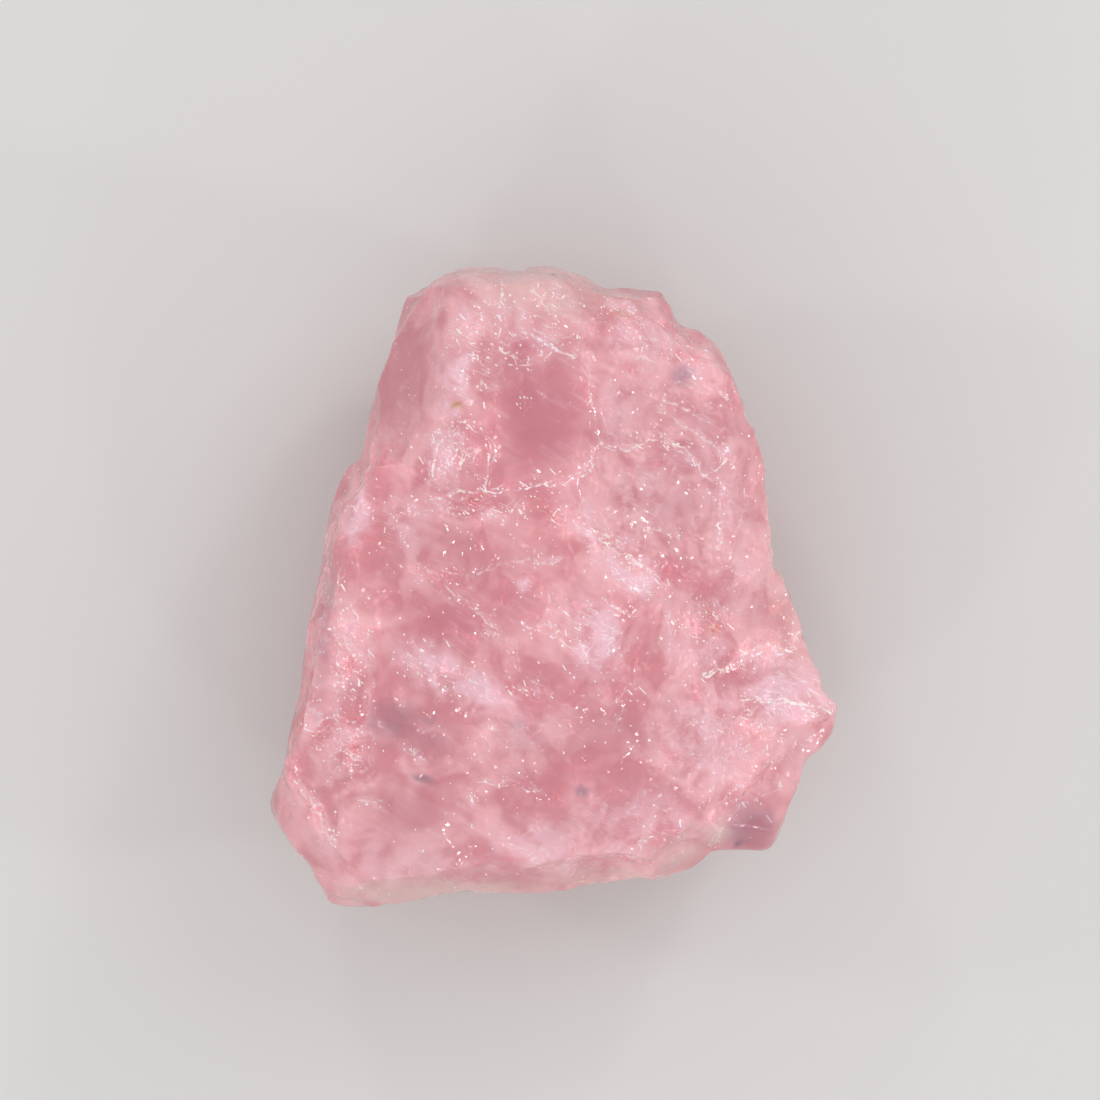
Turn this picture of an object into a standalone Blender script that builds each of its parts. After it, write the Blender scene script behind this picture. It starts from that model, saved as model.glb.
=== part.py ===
"""Rough morganite: one broken chunk of pink beryl, a little smaller than a walnut.

The stone lies on its flattest break, so +Z is the face that shows, +Y its narrow end and +X its right.
It grew as one piece and is one solid. The script shapes it the way a rough stone gets its shape: a block
is broken off by flat and hollow breaks, and each break is stated where it lies on the stone.

A ray is sent out from the core of the stone in every direction, and the surface is where the ray meets
the first break. Every break below is a function that shortens, or for a knob lengthens, those rays.
Lengths are in millimetres until the mesh is made, and Blender's metres from there.
"""

from math import pi

import bmesh
import bpy
import numpy as np
from mathutils import Vector, noise

# Driving sizes in millimetres, and where the rays start
WIDTH = 24.6
LENGTH = 27.9
THICKNESS = 14.8
CORE = np.array([-0.4, -1.2, 6.6])
MILLIMETRE = 0.001

# Corners of the outline seen from above, anticlockwise from the right side
OUTLINE = [
    (9.35, 1.9), (9.3, 3.5), (9.1, 5.2), (8.85, 6.4), (8.4, 7.3), (8.15, 8.2), (7.7, 9.3), (7.45, 10.0),
    (6.9, 10.7), (6.2, 11.15), (5.45, 11.4), (5.0, 12.3), (4.6, 12.9), (4.0, 13.1), (3.0, 13.0),
    (2.1, 13.0), (1.5, 13.4), (0.7, 13.7), (-0.2, 13.95), (-1.0, 13.85), (-1.7, 13.7), (-2.6, 13.9),
    (-3.8, 13.85), (-4.9, 13.65), (-5.5, 13.3), (-6.2, 12.95), (-6.5, 12.3), (-6.75, 11.3), (-7.15, 10.0),
    (-7.6, 8.8), (-7.95, 7.2), (-8.35, 5.6), (-8.9, 5.2), (-9.4, 4.2), (-9.75, 3.0), (-9.9, 1.8),
    (-10.2, 0.2), (-10.65, -2.0), (-10.95, -3.9), (-11.1, -5.1), (-11.5, -6.6), (-11.7, -7.9),
    (-12.2, -9.0), (-12.3, -9.6), (-12.0, -10.3), (-11.2, -11.4), (-10.4, -12.2), (-10.05, -13.1),
    (-9.6, -13.8), (-8.6, -13.95), (-6.6, -13.75), (-4.7, -13.35), (-3.4, -13.2), (-1.5, -13.3),
    (0.2, -13.2), (1.5, -12.85), (2.8, -12.75), (3.8, -12.55), (4.6, -12.7), (5.8, -12.3), (6.5, -11.8),
    (6.95, -11.45), (8.1, -11.4), (9.2, -11.45), (9.65, -11.1), (10.0, -10.3), (10.25, -9.5),
    (10.7, -8.5), (10.95, -7.55), (11.7, -6.9), (12.2, -6.2), (12.3, -5.5), (12.1, -4.9), (11.65, -4.4),
    (11.55, -3.8), (11.1, -2.9), (10.8, -2.0), (10.5, -1.0), (10.1, -0.1), (9.85, 0.55), (9.5, 0.95),
]

# The rim is highest on the right. Away from it the wall leans in, and its notches fade
RIM_HEIGHT = 6.8
RIM_RISE = 0.6
WALL_LEAN = 0.0015
NOTCH_HEIGHT = 3.0
NOTCH_ANGLE = 0.14

# Flat breaks of the face and its flanks: a point on each, and the way it faces
FACE_BREAKS = {
    "crown": ((-1.5, 1.0, THICKNESS - 0.1), (0.04, -0.03, 1.0)),
    "left shelf": ((-6.0, -4.0, 13.6), (-0.20, 0.0, 0.98)),
    "right slope": ((3.0, 0.0, 14.4), (0.36, 0.06, 0.93)),
    "right edge": ((8.3, 0.0, 11.5), (0.70, 0.10, 0.70)),
    "upper right": ((5.2, 8.8, 12.2), (0.52, 0.42, 0.74)),
    "narrow end": ((-1.0, 9.0, 13.7), (-0.02, 0.26, 0.96)),
    "end strip": ((-2.0, 13.0, 12.3), (-0.05, 0.94, 0.34)),
    "left column": ((-7.8, -3.0, 13.2), (-0.60, 0.05, 0.80)),
    "left flank": ((-9.75, 0.0, 10.6), (-0.95, 0.18, 0.27)),
    "left corner": ((-10.3, -9.8, 10.3), (-0.66, -0.42, 0.62)),
    "lower left": ((-6.0, -8.0, 12.6), (-0.16, -0.30, 0.94)),
    "lower slope": ((1.0, -6.0, 13.5), (0.06, -0.33, 0.94)),
    "foot band": ((-1.0, -12.0, 11.1), (0.02, -0.86, 0.50)),
    "foot right": ((5.0, -11.0, 11.3), (0.30, -0.74, 0.60)),
    "nose": ((9.2, -5.5, 10.0), (0.52, -0.12, 0.85)),
}

# Flat breaks under the rim, down to the one the stone lies on
BACK_BREAKS = {
    "right": ((10.5, -1.0, 4.2), (0.80, 0.10, -0.60)),
    "upper right": ((8.0, 8.4, 4.6), (0.70, 0.46, -0.55)),
    "narrow end": ((-1.0, 13.8, 5.3), (-0.06, 0.82, -0.57)),
    "upper left": ((-7.8, 9.2, 4.2), (-0.86, 0.20, -0.48)),
    "left": ((-11.6, -6.0, 4.4), (-0.88, 0.10, -0.46)),
    "left corner": ((-11.8, -9.9, 4.6), (-0.68, -0.40, -0.62)),
    "foot": ((-2.5, -13.4, 5.0), (0.04, -0.80, -0.60)),
    "foot right": ((9.2, -9.8, 3.8), (0.60, -0.52, -0.61)),
    "nose": ((12.1, -5.6, 5.2), (0.74, 0.02, -0.67)),
}

# Steps cut into the block: the floor of each and the walls that end it, all facing into the open space
STEPS = {
    "smooth upper left face": [
        ((-5.0, 9.0, 12.9), (-0.82, 0.20, 0.54)),
        ((-8.2, 5.5, 9.0), (-0.10, 1.0, 0.12)),
    ],
    "sunken window": [
        ((-0.4, 7.2, 13.45), (0.03, 0.20, 1.0)),
        ((-2.45, 7.2, 13.45), (1.0, -0.06, 0.35)),
        ((1.7, 7.2, 13.45), (-1.0, -0.10, 0.7)),
        ((-0.6, 4.45, 13.8), (-0.12, 1.0, 0.25)),
        ((-0.4, 10.0, 12.9), (0.1, -1.0, 0.5)),
    ],
    "lower right spur": [
        ((8.6, -9.8, 8.9), (0.26, -0.26, 0.93)),
        ((7.9, -9.7, 8.9), (0.70, -0.62, 0.36)),
    ],
}

# Knobs that stand proud: the centre and the half sizes of each
KNOBS = {
    "left shoulder": ((-8.0, 3.3, 9.0), (1.6, 2.3, 2.3)),
    "chipped block": ((-3.9, 5.4, 13.2), (1.35, 1.5, 1.1)),
    "middle flake": ((1.4, -1.2, THICKNESS - 0.8), (1.6, 2.2, 1.1)),
    "left column top": ((-8.9, -1.6, 10.2), (0.9, 2.2, 1.5)),
    "left column foot": ((-9.2, -5.4, 10.0), (1.0, 1.9, 1.3)),
    "nose ridge": ((10.2, -5.2, 8.7), (2.1, 0.9, 1.0)),
}

# Shell-shaped bites of the face: centre in the outline's plane, reach, depth, and how far it is drawn out
# along a direction given in degrees
FACE_BITES = [
    (4.4, 3.3, 2.9, 0.75, 1.0, 0),
    (-5.7, 4.9, 1.2, 0.55, 1.4, 70),
    (-4.8, -2.2, 2.0, 0.50, 1.3, 120),
    (-1.8, 0.2, 1.7, 0.45, 1.3, 130),
    (5.6, 0.8, 1.2, 0.40, 1.6, -25),
    (8.6, -3.8, 1.3, 0.55, 1.4, 15),
    (2.2, -6.2, 2.6, 0.40, 1.2, 40),
    (-6.4, -5.9, 1.8, 0.50, 1.2, -30),
    (6.9, 5.9, 0.9, 0.35, 1.5, -60),
    (-1.1, 10.6, 0.9, 0.45, 1.3, 15),
    (-3.2, 2.2, 1.2, 0.38, 2.0, 5),
    (-6.0, -10.4, 3.0, 0.35, 1.3, -10),
    (5.6, -9.2, 2.4, 0.38, 1.3, 35),
    (5.9, 9.0, 1.5, 0.45, 1.3, -35),
    (3.2, 8.6, 1.9, 0.25, 1.6, 80),
    (-8.6, 0.6, 0.9, 0.35, 1.2, 90),
    (-8.3, -3.6, 1.0, 0.40, 1.4, 80),
    (-9.9, -7.6, 1.1, 0.30, 1.5, 70),
    (-1.2, -4.2, 1.7, 0.35, 1.3, -20),
    (-2.6, -7.2, 1.6, 0.35, 1.5, 10),
    (-0.5, -10.2, 2.0, 0.35, 1.6, -35),
    (8.4, 1.6, 1.2, 0.30, 1.7, 75),
    (7.6, -0.9, 1.3, 0.35, 1.5, -20),
    (8.3, -7.0, 1.4, 0.45, 1.3, 30),
    (3.6, -2.9, 1.3, 0.35, 1.7, 15),
    (1.0, 12.2, 1.3, 0.35, 1.6, 0),
]

# Bites round the foot of the stone: a place, then reach, depth and drawing out
FOOT_BITES = [
    ((10.0, 4.5, 2.0), 2.6, 0.40, 1.3, 10),
    ((1.5, 13.0, 2.5), 2.6, 0.35, 1.5, 5),
    ((-9.0, 3.0, 1.5), 2.4, 0.35, 1.3, 70),
    ((-11.0, -7.0, 2.0), 2.2, 0.35, 1.2, 20),
    ((-1.0, -12.5, 1.5), 2.8, 0.45, 1.5, 0),
    ((8.5, -9.0, 1.8), 2.4, 0.40, 1.3, -40),
]

# Small chips all over, fewer where a break stayed smooth: their count, reach, and depth as a share of it
CHIP_SEED = 56
CHIPS = 140
CHIP_REACH = (0.8, 2.2)
CHIP_DEPTH = (0.10, 0.20)
CHIP_TILT = 0.22
SMOOTH_PATCHES = [
    (-6.2, 9.0, 3.6), (-0.4, 7.2, 2.4), (-6.0, -10.6, 3.4), (-11.0, -11.0, 1.8), (-2.0, 13.6, 2.4),
    (4.4, 3.3, 1.9), (8.6, -10.2, 1.5), (-1.0, -13.0, 2.6), (-5.5, -13.3, 2.6), (2.6, -6.2, 1.6),
]

# Terraces and uneven ground left by the breaks, calmer within a height of the rim
CALM_HEIGHT = 2.4
TERRACE_HEIGHT = 0.16
TERRACE_SPACING = 3.6
GROUND_HEIGHT = 0.12
GROUND_SPACING = 4.5

# The mesh: rays from a finely split ball, thinned where the stone is flat, and level where it lies
BALL_SPLITS = 7
FACES_KEPT = 0.115
SHARP_EDGE = 0.45
LIES_WITHIN = 0.03

# The finish
PINK = (0.80, 0.42, 0.46, 1.0)
POLISH = 0.28
BERYL_IOR = 1.58


def unit(vector):
    """A vector of length one the same way."""
    vector = np.asarray(vector, float)
    return vector / np.linalg.norm(vector)


def smooth_outline(corners, steps=8):
    """Points of a closed Catmull-Rom curve through the corners, scaled to the driving sizes."""
    corners = np.array(corners)
    span = corners.max(0) - corners.min(0)
    corners = (corners - (corners.max(0) + corners.min(0)) / 2) * (WIDTH, LENGTH) / span
    before, after, beyond = (np.roll(corners, k, axis=0) for k in (1, -1, -2))
    points = []
    for t in np.arange(steps) / steps:
        shares = (-t + 2 * t**2 - t**3, 2 - 5 * t**2 + 3 * t**3, t + 4 * t**2 - 3 * t**3, t**3 - t**2)
        points.append(0.5 * sum(s * p for s, p in zip(shares, (before, corners, after, beyond))))
    return np.stack(points, axis=1).reshape(-1, 2)


def height_above_rim(spots):
    """How far some points lie above the rim, which is highest on the right."""
    turn = np.arctan2(spots[:, 1] - CORE[1], spots[:, 0] - CORE[0])
    return spots[:, 2] - RIM_HEIGHT - RIM_RISE * np.cos(turn)


def rim_wall(outline):
    """The upright wall that gives the stone its outline. It reaches the outline at the rim, never beyond."""
    away = outline - CORE[:2]
    around = np.linspace(-pi, pi, 721)
    turns = np.arctan2(away[:, 1], away[:, 0])
    order = np.argsort(turns)
    sharp = np.interp(around, turns[order], np.hypot(*away[order].T), period=2 * pi)
    nearby = np.linspace(-NOTCH_ANGLE, NOTCH_ANGLE, 25)
    faded = np.mean([np.interp(around + turn, around, sharp, period=2 * pi) for turn in nearby], axis=0)
    faded = np.minimum(faded, sharp)

    def shorten(rays, reach):
        across = np.maximum(np.hypot(rays[:, 0], rays[:, 1]), 1e-6)
        turn = np.arctan2(rays[:, 1], rays[:, 0])
        meets = np.interp(turn, around, sharp) / across
        above = np.clip(height_above_rim(CORE + rays * meets[:, None]), -8, 8)
        fading = np.clip(np.abs(above) / NOTCH_HEIGHT, 0, 1)
        wall = np.interp(turn, around, sharp) * (1 - fading) + np.interp(turn, around, faded) * fading
        return np.minimum(reach, wall * (1 - WALL_LEAN * above**2) / across)

    return shorten


def flat_break(point, facing):
    """A flat break through a point. What lies beyond it is gone."""
    facing = unit(facing)
    distance = (np.asarray(point) - CORE) @ facing

    def shorten(rays, reach):
        towards = rays @ facing
        meets = distance / np.maximum(towards, 1e-6)
        return np.where(towards > 1e-6, np.minimum(reach, meets), reach)

    return shorten


def step(faces):
    """A step into the block: the space in front of its floor and its walls is gone."""
    faces = [(unit(facing), (np.asarray(point) - CORE) @ unit(facing)) for point, facing in faces]

    def shorten(rays, reach):
        enters = np.zeros(len(rays))
        leaves = np.full(len(rays), np.inf)
        for facing, distance in faces:
            towards = rays @ facing
            meets = distance / np.where(np.abs(towards) < 1e-6, 1e-6, towards)
            enters = np.where(towards > 0, np.maximum(enters, meets), enters)
            leaves = np.where(towards < 0, np.minimum(leaves, meets), leaves)
        return np.where((enters < leaves) & (enters > 0), np.minimum(reach, enters), reach)

    return shorten


def ball_crossings(rays, centre, to_ball):
    """Where rays from the core enter and leave an ellipsoid that to_ball turns into a unit ball."""
    way = rays @ to_ball.T
    middle = to_ball @ (centre - CORE)
    a = (way**2).sum(1)
    b = way @ middle
    inside = b**2 - a * (middle @ middle - 1)
    root = np.sqrt(np.maximum(inside, 0))
    return inside > 0, (b - root) / a, (b + root) / a


def knob(centre, half_sizes):
    """An ellipsoid that stands out of the block."""
    to_ball = np.diag(1 / np.array(half_sizes))

    def lengthen(rays, reach):
        meets, enters, leaves = ball_crossings(rays, np.array(centre), to_ball)
        return np.where(meets & (enters < reach) & (leaves > reach), leaves, reach)

    return lengthen


def surface_frame(ray, cuts, base):
    """Where the surface lies around a ray, and the way it faces, levelled over a base length."""
    ray = unit(ray)
    side = unit(np.cross(ray, (0.31, 0.87, 0.38)))
    other = np.cross(ray, side)
    lean = base / first_break(ray[None], cuts)[0]
    ways = (ray, ray + lean * side, ray + lean * other, ray - lean * side, ray - lean * other)
    rays = np.array([unit(way) for way in ways])
    spots = CORE + rays * first_break(rays, cuts)[:, None]
    facing = unit(np.cross(spots[1] - spots[3], spots[2] - spots[4]))
    return spots.mean(0), facing if facing @ ray > 0 else -facing


def bite(spot, facing, reach_across, depth, drawn_out=1.0, degrees=0.0):
    """A shell-shaped bite: the stone inside a large ball that dips into the surface is gone.

    The ball is as large as it must be to meet a flat surface in a ring of the stated reach.
    """
    radius = (reach_across**2 + depth**2) / (2 * depth)
    facing = unit(facing)
    level = unit(np.cross((0, 1, 0) if abs(facing[1]) < 0.9 else (1, 0, 0), facing))
    upward = np.cross(facing, level)
    angle = degrees * pi / 180
    long_way = np.cos(angle) * level + np.sin(angle) * upward
    short_way = np.cross(facing, long_way)
    to_ball = np.array([long_way / drawn_out, short_way, facing]) / radius
    centre = spot + facing * (radius - depth)

    def shorten(rays, reach):
        meets, enters, _ = ball_crossings(rays, centre, to_ball)
        return np.where(meets & (enters > 0), np.minimum(reach, enters), reach)

    return shorten


def noise_at(points, spacing, octaves=3):
    """Smooth noise at some points, about -1 to 1, with hills a spacing apart."""
    return np.array([noise.fractal(Vector(p) / spacing, 1.0, 2.0, octaves) for p in points])


def uneven_ground(rays, reach):
    """Long low swells, and terraces whose edges follow the noise like the lines of a map."""
    spots = rays * reach[:, None]
    swell = GROUND_HEIGHT * noise_at(spots, GROUND_SPACING)
    levels = 2.2 * noise_at(spots + 31.0, TERRACE_SPACING)
    tread = levels - np.floor(levels)
    riser = np.clip((tread - 0.42) / 0.16, 0, 1)
    terrace = TERRACE_HEIGHT * (riser * riser * (3 - 2 * riser) - tread)
    return reach + (swell + terrace) * rough_share(spots + CORE)


def rough_share(spots):
    """How rough the stone is at some points: 1, less on the smooth patches of the face and along the rim."""
    share = np.clip(np.abs(height_above_rim(spots)) / CALM_HEIGHT, 0.1, 1)
    on_face = np.clip((spots[:, 2] - 6.0) / 2.0, 0, 1)
    for x, y, size in SMOOTH_PATCHES:
        away = np.hypot(spots[:, 0] - x, spots[:, 1] - y) / size
        share = np.minimum(share, np.clip(away**2, 0.05, 1) * on_face + 1 - on_face)
    return share


def first_break(rays, cuts):
    """How far each ray runs from the core to the surface."""
    reach = np.full(len(rays), 60.0)
    for cut in cuts:
        reach = cut(rays, reach)
    return reach


def ray_through(x, y, cuts):
    """The ray that meets the face at a place given in the outline's plane."""
    height = THICKNESS
    for _ in range(12):  # each round halves how far the ray misses by
        ray = unit(np.array([x, y, height]) - CORE)
        height = 0.5 * height + 0.5 * (CORE[2] + ray[2] * first_break(ray[None], cuts)[0])
    return ray


def all_cuts():
    """Every break of the stone, in the order it is made."""
    cuts = [rim_wall(smooth_outline(OUTLINE))]
    cuts += [flat_break(*made) for made in FACE_BREAKS.values()]
    cuts += [flat_break(*made) for made in BACK_BREAKS.values()]
    cuts += [step(faces) for faces in STEPS.values()]
    cuts += [knob(*made) for made in KNOBS.values()]
    for x, y, across, depth, drawn_out, degrees in FACE_BITES:
        spot, facing = surface_frame(ray_through(x, y, cuts), cuts, 0.7 * across)
        cuts.append(bite(spot, facing, across, depth, drawn_out, degrees))
    for place, across, depth, drawn_out, degrees in FOOT_BITES:
        spot, facing = surface_frame(np.array(place) - CORE, cuts, 0.7 * across)
        cuts.append(bite(spot, facing, across, depth, drawn_out, degrees))
    cuts += small_chips(cuts)
    cuts.append(uneven_ground)
    cuts.append(flat_break((0, 0, 0), (0, 0, -1)))
    return cuts


def small_chips(cuts):
    """Chips struck at random places, each a little off square to the surface."""
    random = np.random.default_rng(CHIP_SEED)
    made = []
    for _ in range(CHIPS):
        ray = unit(random.normal(size=3) * (12, 14, 8))
        across = random.uniform(*CHIP_REACH)
        depth = across * random.uniform(*CHIP_DEPTH)
        tilt = random.uniform(-CHIP_TILT, CHIP_TILT, size=3)
        drawn_out = random.uniform(1.0, 1.9)
        degrees = random.uniform(0, 180)
        spot, facing = surface_frame(ray, cuts, 0.7 * across)
        if random.uniform() < rough_share(spot[None])[0]:
            made.append(bite(spot, unit(facing + tilt), across, depth, drawn_out, degrees))
    return made


def beryl():
    """The pink of the stone."""
    material = bpy.data.materials.new("pink beryl")
    material.use_nodes = True
    shader = material.node_tree.nodes["Principled BSDF"]
    shader.inputs["Base Color"].default_value = PINK
    shader.inputs["Roughness"].default_value = POLISH
    shader.inputs["IOR"].default_value = BERYL_IOR
    material.diffuse_color = PINK
    return material


def stone(collection):
    """The stone as one closed mesh: a ball whose points are moved along their rays to the surface."""
    ball = bmesh.new()
    bmesh.ops.create_icosphere(ball, subdivisions=BALL_SPLITS, radius=1.0)
    rays = np.array([v.co for v in ball.verts]) * (WIDTH, LENGTH, THICKNESS)
    rays /= np.linalg.norm(rays, axis=1)[:, None]
    spots = CORE + rays * first_break(rays, all_cuts())[:, None]
    low, high = spots.min(0), spots.max(0)
    spots[:, :2] -= (low[:2] + high[:2]) / 2
    for vertex, spot in zip(ball.verts, spots):
        vertex.co = spot * MILLIMETRE
    mesh = bpy.data.meshes.new("morganite")
    ball.to_mesh(mesh)
    ball.free()
    mesh.shade_smooth()
    mesh.set_sharp_from_angle(angle=SHARP_EDGE)
    mesh.materials.append(beryl())
    made = bpy.data.objects.new("morganite", mesh)
    collection.objects.link(made)
    thin_out = made.modifiers.new("thin out flat ground", "DECIMATE")
    thin_out.ratio = FACES_KEPT
    thinned = made.evaluated_get(bpy.context.evaluated_depsgraph_get())
    made.data = bpy.data.meshes.new_from_object(thinned)
    made.modifiers.remove(thin_out)
    for vertex in made.data.vertices:
        if vertex.co.z < LIES_WITHIN * MILLIMETRE:
            vertex.co.z = 0.0
    return made


def main():
    for old in list(bpy.data.objects):
        bpy.data.objects.remove(old)
    collection = bpy.data.collections.new("rough morganite")
    bpy.context.scene.collection.children.link(collection)
    stone(collection)


main()
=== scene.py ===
# %% [markdown]
# # A rough morganite, lying on its back
#
# Morganite is pink beryl. This one is a broken chunk the size of a walnut half: cloudy inside, glassy on
# its breaks, and clear enough at its thin edges for light to come through. The script loads the solid
# that physics uses, grows a much finer copy of the same breaks over it, and gives that copy its finish.
# Every size below is in millimetres until a mesh is made.

# %% Load the frame
from math import pi, radians

import bmesh
import bpy
import numpy as np
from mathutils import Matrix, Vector, noise


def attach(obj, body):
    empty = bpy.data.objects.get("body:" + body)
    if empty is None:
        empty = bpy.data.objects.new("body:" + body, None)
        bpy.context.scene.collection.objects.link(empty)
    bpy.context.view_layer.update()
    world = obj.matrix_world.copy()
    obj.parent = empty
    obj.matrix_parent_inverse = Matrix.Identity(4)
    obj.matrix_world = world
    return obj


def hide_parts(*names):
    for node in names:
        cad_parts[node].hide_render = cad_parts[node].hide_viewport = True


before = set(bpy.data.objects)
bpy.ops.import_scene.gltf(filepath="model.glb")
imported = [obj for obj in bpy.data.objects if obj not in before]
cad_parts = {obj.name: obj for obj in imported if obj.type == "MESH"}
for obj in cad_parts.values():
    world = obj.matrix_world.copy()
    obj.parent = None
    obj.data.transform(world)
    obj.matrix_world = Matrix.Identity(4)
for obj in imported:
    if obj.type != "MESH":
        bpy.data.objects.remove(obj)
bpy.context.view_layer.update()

MILLIMETRE = 0.001

# %% [markdown]
# ## Two helpers
#
# Colours are easiest to read off a picture as sRGB hex values, but Blender's shaders work in linear light,
# so one function turns one into the other. A second one adds a node, sets it and links it, which keeps
# the long node trees further down readable.


# %% Colours and nodes
def linear(hex_colour, alpha=1.0):
    """An sRGB hex colour as linear RGBA."""
    parts = [int(hex_colour[i : i + 2], 16) / 255 for i in (1, 3, 5)]
    return (*[p / 12.92 if p <= 0.04045 else ((p + 0.055) / 1.055) ** 2.4 for p in parts], alpha)


def add_node(tree, kind, feeds=None, **settings):
    """Adds a node. Settings are its own properties, feeds are values or sockets for its inputs."""
    node = tree.nodes.new(kind)
    for name, value in settings.items():
        setattr(node, name, value)
    for name, value in (feeds or {}).items():
        if isinstance(value, bpy.types.NodeSocket):
            tree.links.new(value, node.inputs[name])
        else:
            node.inputs[name].default_value = value
    return node


print("mid pink in linear light:", [round(c, 3) for c in linear("#DC98A2")])

# %% [markdown]
# ## The outline and the breaks
#
# A rough stone has no modelling plan, but it has a history: flat breaks along weak planes, and shell-shaped
# bites where it was struck. Stating each break where it lies gives real edges where two of them meet,
# which a noise texture on a ball never does. The numbers are the solid's own, so both have one shape.

# %% Sizes and outline
WIDTH = 24.6
LENGTH = 27.9
THICKNESS = 14.8
CORE = np.array([-0.4, -1.2, 6.6])

OUTLINE = [
    (9.35, 1.9), (9.3, 3.5), (9.1, 5.2), (8.85, 6.4), (8.4, 7.3), (8.15, 8.2), (7.7, 9.3), (7.45, 10.0),
    (6.9, 10.7), (6.2, 11.15), (5.45, 11.4), (5.0, 12.3), (4.6, 12.9), (4.0, 13.1), (3.0, 13.0),
    (2.1, 13.0), (1.5, 13.4), (0.7, 13.7), (-0.2, 13.95), (-1.0, 13.85), (-1.7, 13.7), (-2.6, 13.9),
    (-3.8, 13.85), (-4.9, 13.65), (-5.5, 13.3), (-6.2, 12.95), (-6.5, 12.3), (-6.75, 11.3), (-7.15, 10.0),
    (-7.6, 8.8), (-7.95, 7.2), (-8.35, 5.6), (-8.9, 5.2), (-9.4, 4.2), (-9.75, 3.0), (-9.9, 1.8),
    (-10.2, 0.2), (-10.65, -2.0), (-10.95, -3.9), (-11.1, -5.1), (-11.5, -6.6), (-11.7, -7.9),
    (-12.2, -9.0), (-12.3, -9.6), (-12.0, -10.3), (-11.2, -11.4), (-10.4, -12.2), (-10.05, -13.1),
    (-9.6, -13.8), (-8.6, -13.95), (-6.6, -13.75), (-4.7, -13.35), (-3.4, -13.2), (-1.5, -13.3),
    (0.2, -13.2), (1.5, -12.85), (2.8, -12.75), (3.8, -12.55), (4.6, -12.7), (5.8, -12.3), (6.5, -11.8),
    (6.95, -11.45), (8.1, -11.4), (9.2, -11.45), (9.65, -11.1), (10.0, -10.3), (10.25, -9.5),
    (10.7, -8.5), (10.95, -7.55), (11.7, -6.9), (12.2, -6.2), (12.3, -5.5), (12.1, -4.9), (11.65, -4.4),
    (11.55, -3.8), (11.1, -2.9), (10.8, -2.0), (10.5, -1.0), (10.1, -0.1), (9.85, 0.55), (9.5, 0.95),
]

# The rim, where the stone is widest, is highest on the right. Away from it the outline's notches fade
RIM_HEIGHT = 6.8
RIM_RISE = 0.6
WALL_LEAN = 0.0015
NOTCH_HEIGHT = 3.0
NOTCH_ANGLE = 0.14
print(len(OUTLINE), "corners round the outline")

# %% Flat breaks, steps and knobs
FACE_BREAKS = {
    "crown": ((-1.5, 1.0, THICKNESS - 0.1), (0.04, -0.03, 1.0)),
    "left shelf": ((-6.0, -4.0, 13.6), (-0.20, 0.0, 0.98)),
    "right slope": ((3.0, 0.0, 14.4), (0.36, 0.06, 0.93)),
    "right edge": ((8.3, 0.0, 11.5), (0.70, 0.10, 0.70)),
    "upper right": ((5.2, 8.8, 12.2), (0.52, 0.42, 0.74)),
    "narrow end": ((-1.0, 9.0, 13.7), (-0.02, 0.26, 0.96)),
    "end strip": ((-2.0, 13.0, 12.3), (-0.05, 0.94, 0.34)),
    "left column": ((-7.8, -3.0, 13.2), (-0.60, 0.05, 0.80)),
    "left flank": ((-9.75, 0.0, 10.6), (-0.95, 0.18, 0.27)),
    "left corner": ((-10.3, -9.8, 10.3), (-0.66, -0.42, 0.62)),
    "lower left": ((-6.0, -8.0, 12.6), (-0.16, -0.30, 0.94)),
    "lower slope": ((1.0, -6.0, 13.5), (0.06, -0.33, 0.94)),
    "foot band": ((-1.0, -12.0, 11.1), (0.02, -0.86, 0.50)),
    "foot right": ((5.0, -11.0, 11.3), (0.30, -0.74, 0.60)),
    "nose": ((9.2, -5.5, 10.0), (0.52, -0.12, 0.85)),
}
BACK_BREAKS = {
    "right": ((10.5, -1.0, 4.2), (0.80, 0.10, -0.60)),
    "upper right": ((8.0, 8.4, 4.6), (0.70, 0.46, -0.55)),
    "narrow end": ((-1.0, 13.8, 5.3), (-0.06, 0.82, -0.57)),
    "upper left": ((-7.8, 9.2, 4.2), (-0.86, 0.20, -0.48)),
    "left": ((-11.6, -6.0, 4.4), (-0.88, 0.10, -0.46)),
    "left corner": ((-11.8, -9.9, 4.6), (-0.68, -0.40, -0.62)),
    "foot": ((-2.5, -13.4, 5.0), (0.04, -0.80, -0.60)),
    "foot right": ((9.2, -9.8, 3.8), (0.60, -0.52, -0.61)),
    "nose": ((12.1, -5.6, 5.2), (0.74, 0.02, -0.67)),
}
STEPS = {
    "smooth upper left face": [
        ((-5.0, 9.0, 12.9), (-0.82, 0.20, 0.54)),
        ((-8.2, 5.5, 9.0), (-0.10, 1.0, 0.12)),
    ],
    "sunken window": [
        ((-0.4, 7.2, 13.45), (0.03, 0.20, 1.0)),
        ((-2.45, 7.2, 13.45), (1.0, -0.06, 0.35)),
        ((1.7, 7.2, 13.45), (-1.0, -0.10, 0.7)),
        ((-0.6, 4.45, 13.8), (-0.12, 1.0, 0.25)),
        ((-0.4, 10.0, 12.9), (0.1, -1.0, 0.5)),
    ],
    "lower right spur": [
        ((8.6, -9.8, 8.9), (0.26, -0.26, 0.93)),
        ((7.9, -9.7, 8.9), (0.70, -0.62, 0.36)),
    ],
}
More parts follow.
